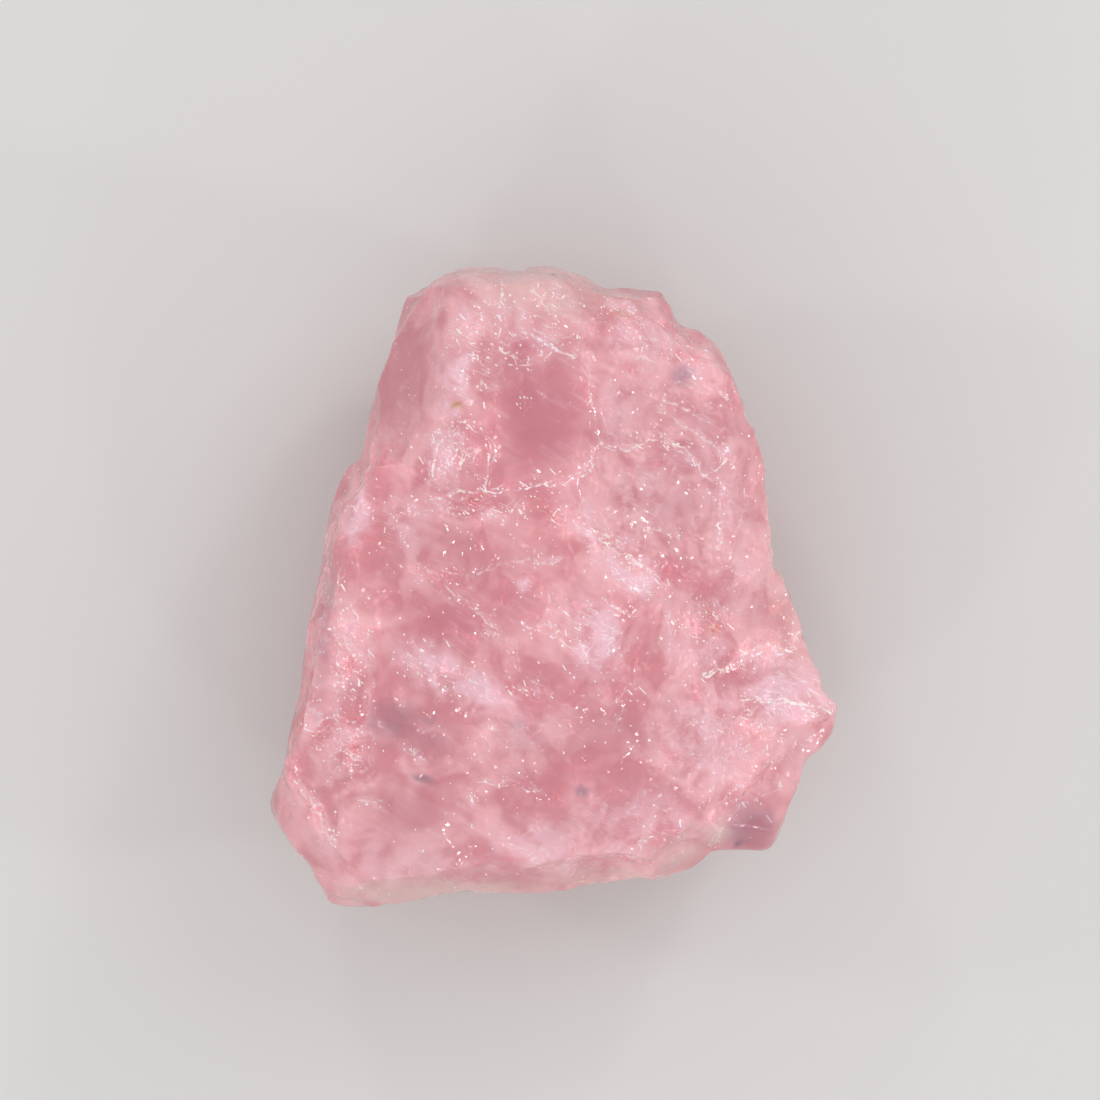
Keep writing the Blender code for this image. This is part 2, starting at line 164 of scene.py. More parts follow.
KNOBS = {
    "left shoulder": ((-8.0, 3.3, 9.0), (1.6, 2.3, 2.3)),
    "chipped block": ((-3.9, 5.4, 13.2), (1.35, 1.5, 1.1)),
    "middle flake": ((1.4, -1.2, THICKNESS - 0.8), (1.6, 2.2, 1.1)),
    "left column top": ((-8.9, -1.6, 10.2), (0.9, 2.2, 1.5)),
    "left column foot": ((-9.2, -5.4, 10.0), (1.0, 1.9, 1.3)),
    "nose ridge": ((10.2, -5.2, 8.7), (2.1, 0.9, 1.0)),
}
print(len(FACE_BREAKS) + len(BACK_BREAKS), "flat breaks,", len(STEPS), "steps,", len(KNOBS), "knobs")

# %% Shell-shaped bites and chips
# Face: x, y, reach, depth, how far drawn out and along which direction. Foot: a place instead of x, y
FACE_BITES = [
    (4.4, 3.3, 2.9, 0.75, 1.0, 0),
    (-5.7, 4.9, 1.2, 0.55, 1.4, 70),
    (-4.8, -2.2, 2.0, 0.50, 1.3, 120),
    (-1.8, 0.2, 1.7, 0.45, 1.3, 130),
    (5.6, 0.8, 1.2, 0.40, 1.6, -25),
    (8.6, -3.8, 1.3, 0.55, 1.4, 15),
    (2.2, -6.2, 2.6, 0.40, 1.2, 40),
    (-6.4, -5.9, 1.8, 0.50, 1.2, -30),
    (6.9, 5.9, 0.9, 0.35, 1.5, -60),
    (-1.1, 10.6, 0.9, 0.45, 1.3, 15),
    (-3.2, 2.2, 1.2, 0.38, 2.0, 5),
    (-6.0, -10.4, 3.0, 0.35, 1.3, -10),
    (5.6, -9.2, 2.4, 0.38, 1.3, 35),
    (5.9, 9.0, 1.5, 0.45, 1.3, -35),
    (3.2, 8.6, 1.9, 0.25, 1.6, 80),
    (-8.6, 0.6, 0.9, 0.35, 1.2, 90),
    (-8.3, -3.6, 1.0, 0.40, 1.4, 80),
    (-9.9, -7.6, 1.1, 0.30, 1.5, 70),
    (-1.2, -4.2, 1.7, 0.35, 1.3, -20),
    (-2.6, -7.2, 1.6, 0.35, 1.5, 10),
    (-0.5, -10.2, 2.0, 0.35, 1.6, -35),
    (8.4, 1.6, 1.2, 0.30, 1.7, 75),
    (7.6, -0.9, 1.3, 0.35, 1.5, -20),
    (8.3, -7.0, 1.4, 0.45, 1.3, 30),
    (3.6, -2.9, 1.3, 0.35, 1.7, 15),
    (1.0, 12.2, 1.3, 0.35, 1.6, 0),
]
FOOT_BITES = [
    ((10.0, 4.5, 2.0), 2.6, 0.40, 1.3, 10),
    ((1.5, 13.0, 2.5), 2.6, 0.35, 1.5, 5),
    ((-9.0, 3.0, 1.5), 2.4, 0.35, 1.3, 70),
    ((-11.0, -7.0, 2.0), 2.2, 0.35, 1.2, 20),
    ((-1.0, -12.5, 1.5), 2.8, 0.45, 1.5, 0),
    ((8.5, -9.0, 1.8), 2.4, 0.40, 1.3, -40),
]
CHIP_SEED = 56
CHIPS = 140
CHIP_REACH = (0.8, 2.2)
CHIP_DEPTH = (0.10, 0.20)
CHIP_TILT = 0.22

# Where a break stayed smooth, as x, y and size, and the low swells and terraces of the rest
SMOOTH_PATCHES = [
    (-6.2, 9.0, 3.6), (-0.4, 7.2, 2.4), (-6.0, -10.6, 3.4), (-11.0, -11.0, 1.8), (-2.0, 13.6, 2.4),
    (4.4, 3.3, 1.9), (8.6, -10.2, 1.5), (-1.0, -13.0, 2.6), (-5.5, -13.3, 2.6), (2.6, -6.2, 1.6),
]
CALM_HEIGHT = 2.4
TERRACE_HEIGHT = 0.12
TERRACE_SPACING = 4.2
GROUND_HEIGHT = 0.12
GROUND_SPACING = 4.5
print(len(FACE_BITES) + len(FOOT_BITES), "bites and up to", CHIPS, "chips")

# %% [markdown]
# ## How a break shapes the stone
#
# Rays leave the core of the stone in every direction. Each break is a function that shortens the rays
# which cross it, and a knob lengthens them. What is left is the surface. Booleans with two hundred cutters
# would be slow and fragile; this takes a second, always gives one closed skin, and works at any fineness.


# %% Outline wall and flat breaks
def unit(vector):
    """A vector of length one the same way."""
    vector = np.asarray(vector, float)
    return vector / np.linalg.norm(vector)


def smooth_outline(corners, steps=8):
    """Points of a closed Catmull-Rom curve through the corners, scaled to the driving sizes."""
    corners = np.array(corners)
    span = corners.max(0) - corners.min(0)
    corners = (corners - (corners.max(0) + corners.min(0)) / 2) * (WIDTH, LENGTH) / span
    before, after, beyond = (np.roll(corners, k, axis=0) for k in (1, -1, -2))
    points = []
    for t in np.arange(steps) / steps:
        shares = (-t + 2 * t**2 - t**3, 2 - 5 * t**2 + 3 * t**3, t + 4 * t**2 - 3 * t**3, t**3 - t**2)
        points.append(0.5 * sum(s * p for s, p in zip(shares, (before, corners, after, beyond))))
    return np.stack(points, axis=1).reshape(-1, 2)


def height_above_rim(spots):
    """How far some points lie above the rim."""
    turn = np.arctan2(spots[:, 1] - CORE[1], spots[:, 0] - CORE[0])
    return spots[:, 2] - RIM_HEIGHT - RIM_RISE * np.cos(turn)


def rim_wall(outline):
    """The upright wall that gives the stone its outline. It reaches the outline at the rim, never beyond."""
    away = outline - CORE[:2]
    around = np.linspace(-pi, pi, 721)
    turns = np.arctan2(away[:, 1], away[:, 0])
    order = np.argsort(turns)
    sharp = np.interp(around, turns[order], np.hypot(*away[order].T), period=2 * pi)
    nearby = np.linspace(-NOTCH_ANGLE, NOTCH_ANGLE, 25)
    faded = np.mean([np.interp(around + turn, around, sharp, period=2 * pi) for turn in nearby], axis=0)
    faded = np.minimum(faded, sharp)

    def shorten(rays, reach):
        across = np.maximum(np.hypot(rays[:, 0], rays[:, 1]), 1e-6)
        turn = np.arctan2(rays[:, 1], rays[:, 0])
        meets = np.interp(turn, around, sharp) / across
        above = np.clip(height_above_rim(CORE + rays * meets[:, None]), -8, 8)
        fading = np.clip(np.abs(above) / NOTCH_HEIGHT, 0, 1)
        wall = np.interp(turn, around, sharp) * (1 - fading) + np.interp(turn, around, faded) * fading
        return np.minimum(reach, wall * (1 - WALL_LEAN * above**2) / across)

    return shorten


def flat_break(point, facing):
    """A flat break through a point. What lies beyond it is gone."""
    facing = unit(facing)
    distance = (np.asarray(point) - CORE) @ facing

    def shorten(rays, reach):
        towards = rays @ facing
        meets = distance / np.maximum(towards, 1e-6)
        return np.where(towards > 1e-6, np.minimum(reach, meets), reach)

    return shorten


def step(faces):
    """A step into the block: the space in front of its floor and its walls is gone."""
    faces = [(unit(facing), (np.asarray(point) - CORE) @ unit(facing)) for point, facing in faces]

    def shorten(rays, reach):
        enters = np.zeros(len(rays))
        leaves = np.full(len(rays), np.inf)
        for facing, distance in faces:
            towards = rays @ facing
            meets = distance / np.where(np.abs(towards) < 1e-6, 1e-6, towards)
            enters = np.where(towards > 0, np.maximum(enters, meets), enters)
            leaves = np.where(towards < 0, np.minimum(leaves, meets), leaves)
        return np.where((enters < leaves) & (enters > 0), np.minimum(reach, enters), reach)

    return shorten


print("the wall, the flat breaks and the steps can be cut")


# %% Knobs and bites
def ball_crossings(rays, centre, to_ball):
    """Where rays from the core enter and leave an ellipsoid that to_ball turns into a unit ball."""
    way = rays @ to_ball.T
    middle = to_ball @ (centre - CORE)
    a = (way**2).sum(1)
    b = way @ middle
    inside = b**2 - a * (middle @ middle - 1)
    root = np.sqrt(np.maximum(inside, 0))
    return inside > 0, (b - root) / a, (b + root) / a


def knob(centre, half_sizes):
    """An ellipsoid that stands out of the block."""
    to_ball = np.diag(1 / np.array(half_sizes))

    def lengthen(rays, reach):
        meets, enters, leaves = ball_crossings(rays, np.array(centre), to_ball)
        return np.where(meets & (enters < reach) & (leaves > reach), leaves, reach)

    return lengthen


def bite(spot, facing, reach_across, depth, drawn_out=1.0, degrees=0.0):
    """A shell-shaped bite: the stone inside a large ball that dips into the surface is gone."""
    radius = (reach_across**2 + depth**2) / (2 * depth)
    facing = unit(facing)
    level = unit(np.cross((0, 1, 0) if abs(facing[1]) < 0.9 else (1, 0, 0), facing))
    upward = np.cross(facing, level)
    angle = degrees * pi / 180
    long_way = np.cos(angle) * level + np.sin(angle) * upward
    short_way = np.cross(facing, long_way)
    to_ball = np.array([long_way / drawn_out, short_way, facing]) / radius
    centre = spot + facing * (radius - depth)

    def shorten(rays, reach):
        meets, enters, _ = ball_crossings(rays, centre, to_ball)
        return np.where(meets & (enters > 0), np.minimum(reach, enters), reach)

    return shorten


def first_break(rays, cuts):
    """How far each ray runs from the core to the surface."""
    reach = np.full(len(rays), 60.0)
    for cut in cuts:
        reach = cut(rays, reach)
    return reach


def surface_frame(ray, cuts, base):
    """Where the surface lies around a ray, and the way it faces, levelled over a base length."""
    ray = unit(ray)
    side = unit(np.cross(ray, (0.31, 0.87, 0.38)))
    other = np.cross(ray, side)
    lean = base / first_break(ray[None], cuts)[0]
    ways = (ray, ray + lean * side, ray + lean * other, ray - lean * side, ray - lean * other)
    rays = np.array([unit(way) for way in ways])
    spots = CORE + rays * first_break(rays, cuts)[:, None]
    facing = unit(np.cross(spots[1] - spots[3], spots[2] - spots[4]))
    return spots.mean(0), facing if facing @ ray > 0 else -facing


def ray_through(x, y, cuts):
    """The ray that meets the face at a place given in the outline's plane."""
    height = THICKNESS
    for _ in range(12):  # each round halves how far the ray misses by
        ray = unit(np.array([x, y, height]) - CORE)
        height = 0.5 * height + 0.5 * (CORE[2] + ray[2] * first_break(ray[None], cuts)[0])
    return ray


print("bites and knobs can be cut")


# %% Uneven ground and the list of all breaks
def noise_at(points, spacing, octaves=3):
    """Smooth noise at some points, about -1 to 1, with hills a spacing apart."""
    return np.array([noise.fractal(Vector(p) / spacing, 1.0, 2.0, octaves) for p in points])


def rough_share(spots):
    """How rough the stone is at some points: 1, less on the smooth patches of the face and along the rim."""
    share = np.clip(np.abs(height_above_rim(spots)) / CALM_HEIGHT, 0.1, 1)
    on_face = np.clip((spots[:, 2] - 6.0) / 2.0, 0, 1)
    for x, y, size in SMOOTH_PATCHES:
        away = np.hypot(spots[:, 0] - x, spots[:, 1] - y) / size
        share = np.minimum(share, np.clip(away**2, 0.05, 1) * on_face + 1 - on_face)
    return share


def uneven_ground(rays, reach):
    """Long low swells, and terraces whose edges follow the noise like the lines of a map."""
    spots = rays * reach[:, None]
    swell = GROUND_HEIGHT * noise_at(spots, GROUND_SPACING, 2)
    levels = 2.2 * noise_at(spots + 31.0, TERRACE_SPACING, 1)
    tread = levels - np.floor(levels)
    riser = np.clip((tread - 0.42) / 0.16, 0, 1)
    terrace = TERRACE_HEIGHT * (riser * riser * (3 - 2 * riser) - tread)
    return reach + (swell + terrace) * rough_share(spots + CORE)


def small_chips(cuts):
    """Chips struck at random places, each a little off square to the surface."""
    random = np.random.default_rng(CHIP_SEED)
    made = []
    for _ in range(CHIPS):
        ray = unit(random.normal(size=3) * (12, 14, 8))
        across = random.uniform(*CHIP_REACH)
        depth = across * random.uniform(*CHIP_DEPTH)
        tilt = random.uniform(-CHIP_TILT, CHIP_TILT, size=3)
        drawn_out = random.uniform(1.0, 1.9)
        degrees = random.uniform(0, 180)
        spot, facing = surface_frame(ray, cuts, 0.7 * across)
        if random.uniform() < rough_share(spot[None])[0]:
            made.append(bite(spot, unit(facing + tilt), across, depth, drawn_out, degrees))
    return made


def all_cuts():
    """Every break of the stone, in the order it is made, up to the one it lies on."""
    cuts = [rim_wall(smooth_outline(OUTLINE))]
    cuts += [flat_break(*made) for made in FACE_BREAKS.values()]
    cuts += [flat_break(*made) for made in BACK_BREAKS.values()]
    cuts += [step(faces) for faces in STEPS.values()]
    cuts += [knob(*made) for made in KNOBS.values()]
    for x, y, across, depth, drawn_out, degrees in FACE_BITES:
        spot, facing = surface_frame(ray_through(x, y, cuts), cuts, 0.7 * across)
        cuts.append(bite(spot, facing, across, depth, drawn_out, degrees))
    for place, across, depth, drawn_out, degrees in FOOT_BITES:
        spot, facing = surface_frame(np.array(place) - CORE, cuts, 0.7 * across)
        cuts.append(bite(spot, facing, across, depth, drawn_out, degrees))
    cuts += small_chips(cuts)
    cuts.append(uneven_ground)
    cuts.append(flat_break((0, 0, 0), (0, 0, -1)))
    return cuts


cuts = all_cuts()
print(len(cuts), "breaks in all")

# %% [markdown]
# ## A fine skin
#
# The solid has about nine thousand triangles. Glints need more: a chip of half a millimetre should be a
# dozen faces across. An icosphere spreads its faces evenly, so it starts the skin, and the part of it that
# becomes the face is split once more, because that is where the eye goes.

# %% The skin's rays and where they end
BALL_SPLITS = 7
FACE_FROM = 0.35


def skin_ball():
    """A ball whose upper part is split twice as finely."""
    ball = bmesh.new()
    bmesh.ops.create_icosphere(ball, subdivisions=BALL_SPLITS, radius=1.0)
    upper = [edge for edge in ball.edges if (edge.verts[0].co.z + edge.verts[1].co.z) / 2 > FACE_FROM]
    bmesh.ops.subdivide_edges(ball, edges=upper, cuts=1, use_grid_fill=True)
    bmesh.ops.triangulate(ball, faces=ball.faces[:])
    return ball


ball = skin_ball()
rays = np.array([vertex.co for vertex in ball.verts]) * (WIDTH, LENGTH, THICKNESS)
rays /= np.linalg.norm(rays, axis=1)[:, None]
spots = CORE + rays * first_break(rays, cuts)[:, None]
print(len(ball.faces), "faces in the skin")

# %% [markdown]
# ## Ridges, cracks and zones
#
# On the real stone thin raised seams run between neighbouring breaks, and along them the beryl is crushed
# and looks white; on the crests of the nose, the right ridge and the step below the window that white is
# also a painted highlight. Each seam is a short line across the face. A point near it is lifted a little
# and gets a share of the attribute "pale". More attributes say where the ground is crushed, with painted
# glints crowded into small spots of it; where a clean break lets the eye look deep into the pink, with
# painted shade in a scoop and a recess; where milky veils lie, with painted highlights on the nose and the
# left shoulder; where smoky inclusions lie, with a painted shadow on the left side face; and where a painted
# pale glow lies along the foot and the thin rims. The finish reads them later, so shape and colour change
# together, as they do on the stone.

# %% Seams
# Each seam: height, half width, paleness, then the places it runs through
SEAMS = {
    # The crack below the window is partly a painted highlight on the step there
    "crack below the window": (0.14, 0.13, 0.9, [(-5.2, 3.8), (-4.2, 3.9), (-3.0, 4.0), (-1.8, 4.1),
                                                 (-1.0, 4.2), (0.2, 4.4), (1.3, 4.7), (1.7, 5.2), (1.9, 5.9)]),
    "right side of the window": (0.07, 0.20, 0.3, [(1.3, 10.0), (1.5, 8.5), (1.75, 7.2), (1.9, 6.0)]),
    "round scar": (0.10, 0.14, 0.6, [(1.9, 6.0), (2.4, 5.9), (3.2, 5.9), (4.0, 6.1), (4.6, 6.2), (5.5, 5.8),
                                     (6.2, 5.2), (6.8, 4.4), (7.05, 3.7), (7.2, 2.8), (7.1, 1.9), (7.0, 1.0)]),
    "scar at the narrow end": (0.06, 0.10, 0.7, [(-1.9, 9.9), (-1.6, 9.6), (-1.2, 9.5), (-0.7, 9.6),
                                                 (-0.3, 9.9), (0.1, 10.3)]),
    "tongue": (0.10, 0.10, 0.8, [(6.3, 5.3), (6.6, 5.0), (7.0, 4.9), (7.3, 5.1), (7.4, 5.6), (7.3, 6.2)]),
    "slanting ridge": (0.09, 0.15, 0.45, [(-5.3, 0.5), (-4.6, 0.1), (-3.7, -0.6), (-3.0, -1.3), (-2.5, -1.8),
                                          (-1.9, -2.6), (-1.5, -3.3)]),
    "terrace edge": (0.08, 0.13, 0.4, [(-5.8, 0.9), (-4.8, 0.7), (-3.5, 0.5), (-2.6, 0.7), (-1.6, 1.1),
                                        (-0.4, 1.1), (0.4, 1.2)]),
    "flake edge": (0.12, 0.13, 0.4, [(-0.1, 0.0), (-0.2, -1.0), (0.0, -1.8), (0.5, -2.4), (1.2, -2.8),
                                      (1.8, -3.3), (2.0, -3.4)]),
    "hackles": (0.12, 0.18, 0.8, [(1.5, 2.5), (2.2, 1.9), (3.0, 1.3), (3.8, 0.8), (4.6, 0.2), (5.0, 0.0)]),
    "lower hackles": (0.09, 0.14, 0.6, [(1.9, 1.9), (2.4, 1.0), (3.2, 0.2), (4.0, -0.2)]),
    "flake streaks": (0.08, 0.16, 0.8, [(2.4, -0.6), (2.9, -1.1), (3.3, -1.2)]),
    # The white of the right ridge and of the nose streak is a painted highlight on their crests
    "right ridge": (0.14, 0.14, 1.0, [(6.5, -3.8), (7.2, -3.6), (7.8, -3.3), (8.3, -2.9), (9.2, -2.5),
                                      (9.8, -2.7), (10.5, -2.7)]),
    "nose streak": (0.10, 0.11, 1.6, [(8.2, -4.9), (9.4, -4.9), (10.3, -5.0), (11.2, -5.2), (12.0, -5.5)]),
    "lower curl": (0.05, 0.10, 0.25, [(3.2, -4.1), (2.8, -4.7), (2.9, -5.3), (2.7, -6.0)]),
    "column edge": (0.06, 0.12, 0.25, [(-7.8, -2.0), (-7.7, -4.0), (-7.75, -6.0), (-7.7, -8.0)]),
    "corner edge": (0.08, 0.14, 0.5, [(-11.3, -7.5), (-10.9, -8.6), (-10.3, -9.8), (-9.5, -10.8)]),
    "flank edge": (0.05, 0.12, 0.3, [(-9.7, 1.0), (-9.8, -0.5), (-9.9, -2.5), (-10.3, -5.0)]),
    "upper streak": (0.05, 0.09, 0.4, [(4.2, 8.2), (5.4, 7.7), (6.8, 7.0)]),
    "upper streak below": (0.05, 0.09, 0.4, [(4.6, 7.4), (6.0, 6.6), (7.6, 5.6)]),
    "upper streak above": (0.05, 0.09, 0.4, [(5.2, 9.9), (6.4, 9.0), (7.4, 8.0)]),
    "scar streak": (0.05, 0.09, 0.7, [(4.2, 2.4), (4.7, 2.35), (5.2, 2.25)]),
    "window sill streak": (0.04, 0.09, 0.5, [(-3.0, -8.3), (-1.6, -8.5), (-0.6, -8.7)]),
    "left streak": (0.04, 0.09, 0.4, [(-8.2, -9.1), (-7.3, -9.2)]),
    "spur edge": (0.06, 0.13, 0.45, [(6.9, -11.2), (7.4, -10.2), (8.0, -9.3), (9.0, -9.0), (9.8, -8.6)]),
    "column crest": (0.08, 0.14, 0.5, [(-9.0, 0.8), (-9.2, -0.6), (-9.0, -1.6), (-8.7, -2.6), (-8.5, -3.0)]),
    "column foot crest": (0.08, 0.12, 0.5, [(-9.9, -5.6), (-9.2, -5.4), (-9.0, -6.4), (-8.8, -7.0)]),
    "block left": (0.06, 0.10, 0.9, [(-5.2, 4.6), (-5.0, 5.4), (-4.9, 6.2), (-4.55, 6.5), (-4.45, 5.8),
                                     (-4.7, 5.3)]),
    "block top": (0.06, 0.10, 0.7, [(-4.2, 6.4), (-3.9, 7.0), (-3.3, 6.8), (-2.8, 6.3), (-2.6, 5.4),
                                    (-2.8, 4.5), (-2.9, 3.9)]),
    "block middle": (0.05, 0.09, 0.7, [(-4.1, 6.3), (-3.9, 5.8), (-3.4, 5.3), (-3.2, 5.7)]),
    "ring above the window": (0.05, 0.10, 0.7, [(-0.35, 10.2), (-0.5, 10.5), (-1.3, 10.8), (-1.9, 10.4)]),
    "line above the window": (0.05, 0.10, 0.8, [(-0.35, 10.5), (0.2, 10.1), (0.9, 9.7)]),
    "cream line": (0.04, 0.10, 0.8, [(-2.2, 12.9), (-2.25, 11.5), (-2.15, 10.0)]),
    "window hook": (0.03, 0.08, 0.5, [(-1.4, 8.2), (-1.1, 7.9), (-1.15, 7.55)]),
    "middle hackle": (0.06, 0.10, 0.9, [(1.8, 2.3), (2.6, 2.0), (3.2, 1.35), (3.9, 0.9), (4.5, 0.75)]),
    "flake line": (0.04, 0.09, 0.7, [(-1.1, -1.6), (-0.4, -1.85), (0.2, -1.9)]),
    "foot line": (0.03, 0.09, 0.5, [(3.4, -11.6), (3.8, -10.8), (4.6, -10.7), (5.6, -10.8)]),
    "left corner line": (0.04, 0.10, 0.9, [(-10.4, -9.8), (-10.0, -10.2), (-9.5, -10.6)]),
}


def across_line(places, line):
    """How far some places lie from a line of short straight runs, more than zero on its left."""
    nearest = np.full(len(places), 99.0)
    for start, end in zip(np.array(line[:-1]), np.array(line[1:])):
        run = end - start
        along = np.clip((places - start) @ run / (run @ run), 0, 1)
        off = places - start - along[:, None] * run
        away = np.hypot(*off.T) * np.where(run[0] * off[:, 1] - run[1] * off[:, 0] < 0, -1, 1)
        nearest = np.where(np.abs(away) < np.abs(nearest), away, nearest)
    return nearest


print(len(SEAMS), "seams")

# %% Zones
# Each spot: x, y, half width, half length, turn in degrees, strength
# Crushed ground; the small spots of strength above one crowd white strokes where glints cluster: painted glints
CRUSHED_AND_PAINTED_GLINTS = [
    (-3.1, 10.5, 0.9, 2.5, 0, 0.8), (-0.5, 11.5, 1.8, 1.3, 0, 0.7), (2.8, 11.8, 1.5, 0.9, 0, 0.8),
    (-4.3, 5.6, 1.1, 1.5, 0, 1.0), (-2.8, 3.4, 3.0, 0.5, 0, 0.9), (0.3, 3.0, 0.8, 0.7, 0, 0.9),
    (3.0, 1.3, 1.9, 0.7, -35, 1.0), (-8.0, 3.5, 0.9, 0.7, 0, 0.6), (-8.8, -3.0, 0.9, 2.2, 0, 1.0),
    (-8.8, -6.5, 1.0, 1.6, 0, 1.0), (-10.2, -6.0, 0.5, 1.3, 0, 0.8), (8.8, -3.0, 2.0, 0.6, 15, 0.9),
    (10.5, -5.2, 1.6, 0.6, -10, 0.9), (8.5, -6.5, 1.6, 1.5, 0, 0.8), (-1.0, -4.3, 1.2, 0.5, 0, 0.8),
    (6.5, -1.5, 1.6, 1.2, 0, 0.8), (-5.2, -3.4, 1.5, 0.8, -25, 0.8), (4.8, 6.2, 1.6, 0.4, 0, 0.8),
    (1.4, -1.8, 1.0, 1.5, 30, 0.5), (-6.6, 2.8, 0.8, 1.2, 0, 0.7), (5.8, 10.2, 1.6, 0.8, -30, 0.7),
    (4.0, 10.4, 0.7, 1.2, 0, 0.6), (-10.3, -9.6, 0.5, 1.2, 35, 0.8), (7.0, -6.6, 0.5, 0.5, 0, 0.8),
    (-3.5, -8.9, 0.4, 0.4, 0, 1.4), (8.0, -8.8, 1.4, 0.5, 20, 0.6), (-5.0, 0.6, 1.8, 0.5, 0, 0.6),
    (0.2, 2.95, 0.35, 0.3, 0, 1.8), (3.0, -1.1, 0.5, 0.25, -20, 2.0), (1.3, -2.1, 0.4, 0.3, 0, 1.6),
    (-1.3, 0.1, 0.4, 0.2, -30, 1.4), (0.0, 1.3, 0.4, 0.2, 0, 1.3), (-3.5, 3.6, 0.4, 0.2, 0, 1.6),
    (-2.3, 3.0, 0.3, 0.3, 0, 1.4), (-1.0, 3.4, 0.25, 0.2, 0, 1.6), (9.7, -2.8, 0.35, 0.15, -10, 2.0),
    (7.5, -3.5, 0.4, 0.12, 30, 2.0), (6.9, -1.8, 0.4, 0.4, 0, 1.5), (-8.4, -2.8, 0.2, 0.4, 10, 1.5),
    (-5.9, -7.0, 0.6, 0.15, -40, 1.3), (-2.7, -1.9, 0.4, 0.2, -40, 1.3), (-0.3, 12.0, 1.2, 0.9, 0, 0.9),
    (3.1, 11.6, 0.3, 0.25, 0, 1.8), (-8.6, -6.0, 0.25, 0.7, 10, 1.5), (-10.1, -5.9, 0.2, 0.8, -10, 1.4),
]
# Deep windows of clear stone; the spots at (-5.5, 4.9), the scoop left of the chipped block, and at (8.7, -3.9), the
# recess under the right ridge, are painted shade, and the spot at (-7.9, -6.5) darkens the right side of the column
# edge
DEEP_AND_PAINTED_SHADE = [
    (-0.4, 7.2, 2.1, 2.8, 0, 1.0), (-4.4, -1.5, 1.8, 1.4, 0, 1.0), (-1.5, -0.4, 1.3, 1.3, 0, 0.7),
    (2.5, -6.2, 2.4, 1.4, 0, 0.6), (-0.5, -8.3, 1.8, 0.8, 0, 0.9), (-6.0, -9.6, 2.2, 1.1, 0, 0.7),
    (5.0, 3.2, 1.5, 1.2, 0, 0.3), (-1.1, 10.4, 0.8, 0.5, 0, 0.9), (5.5, 0.6, 1.4, 0.7, -20, 0.6),
    (-5.5, 4.9, 0.35, 1.2, -25, 1.0), (8.7, -3.9, 1.4, 0.5, 10, 0.8), (-2.2, 2.0, 2.4, 0.8, 0, 0.35),
    (-7.9, -6.5, 0.5, 2.0, 0, 0.5), (0.5, -4.8, 1.5, 0.9, 0, 0.6), (-6.6, 9.2, 1.5, 3.4, -10, 0.8),
    (8.2, -9.2, 1.2, 0.5, 30, 0.5),
]
# Milky veils; the spots on the nose at (10.4, -4.6) and on the left shoulder at (-8.5, 3.2) are painted highlights as
# well
MILKY_AND_PAINTED_HIGHLIGHT = [
    (-4.1, 9.4, 0.75, 2.6, -8, 0.85), (-4.2, 5.6, 0.9, 1.2, -15, 0.6), (-1.5, 11.7, 2.6, 0.9, 0, 0.1),
    (3.9, 10.6, 1.8, 1.3, -10, 0.45), (2.9, 7.9, 0.9, 2.2, -10, 0.35), (1.0, 3.1, 1.1, 0.8, -35, 0.6),
    (2.9, 1.0, 2.4, 0.7, -38, 1.0), (1.7, -2.0, 1.3, 1.6, 20, 0.95), (-4.0, -3.9, 2.8, 0.8, -28, 1.0),
    (10.4, -4.6, 2.0, 1.4, -15, 1.2), (6.8, -6.6, 2.4, 2.4, 0, 0.55), (3.6, -10.0, 3.2, 1.5, 10, 0.45),
    (7.6, 3.0, 1.1, 5.2, 8, 0.4), (-6.5, -11.9, 4.0, 0.9, 0, 0.35), (-0.4, -11.2, 2.2, 1.1, -20, 0.6),
    (-8.5, 3.2, 0.7, 1.4, -10, 0.75), (-8.9, -3.5, 0.6, 3.0, -5, 0.5), (-9.0, -6.6, 0.7, 1.3, 0, 0.35),
    (-6.3, 2.6, 0.9, 1.5, 0, 0.4), (4.6, 3.9, 2.0, 1.7, 0, 0.3), (6.2, -2.4, 1.6, 1.0, 0, 0.45),
    (-1.8, -6.0, 2.0, 0.8, -20, 0.4), (5.6, 9.0, 1.5, 1.3, -30, 0.35), (-9.6, -11.0, 1.0, 1.6, 20, 0.3),
    (6.3, 6.5, 1.8, 1.8, 0, 0.35), (10.6, -7.0, 1.4, 1.3, 0, 0.6),
]
# Smoky inclusions and dark specks; the long thin strip at (-9.8, -2.0) is painted shade on the left side face
SMOKY_AND_PAINTED_SHADE = [
    (-6.85, -5.7, 1.15, 0.85, -10, 0.5), (-5.5, -6.4, 1.2, 0.9, 0, 0.25), (-5.5, -8.15, 0.5, 0.2, -20, 0.65),
    (1.25, -8.6, 0.30, 0.24, 0, 0.7), (8.55, -10.4, 1.15, 1.0, 20, 0.55), (8.15, -11.1, 0.34, 0.2, 35, 0.95),
    (8.8, -10.5, 0.10, 0.3, -20, 0.8), (5.5, 9.1, 0.55, 0.42, 0, 0.6), (9.2, -10.0, 0.25, 0.09, 40, 0.9), (11.3, -5.3, 0.14, 0.1, 0, 1.0),
    (0.05, 13.3, 0.1, 0.08, 0, 1.0), (-5.3, -5.7, 0.4, 0.3, 0, 0.4), (-1.6, -5.9, 0.3, 0.3, 0, 0.25),
    (-9.8, -2.0, 0.35, 3.4, -4, 0.35),
]
STAINED = [(-4.07, 7.75, 0.26, 0.12, -10, 1.0), (6.9, -1.75, 0.3, 0.25, 0, 0.35), (3.0, 11.7, 0.3, 0.25, 0, 0.3)]
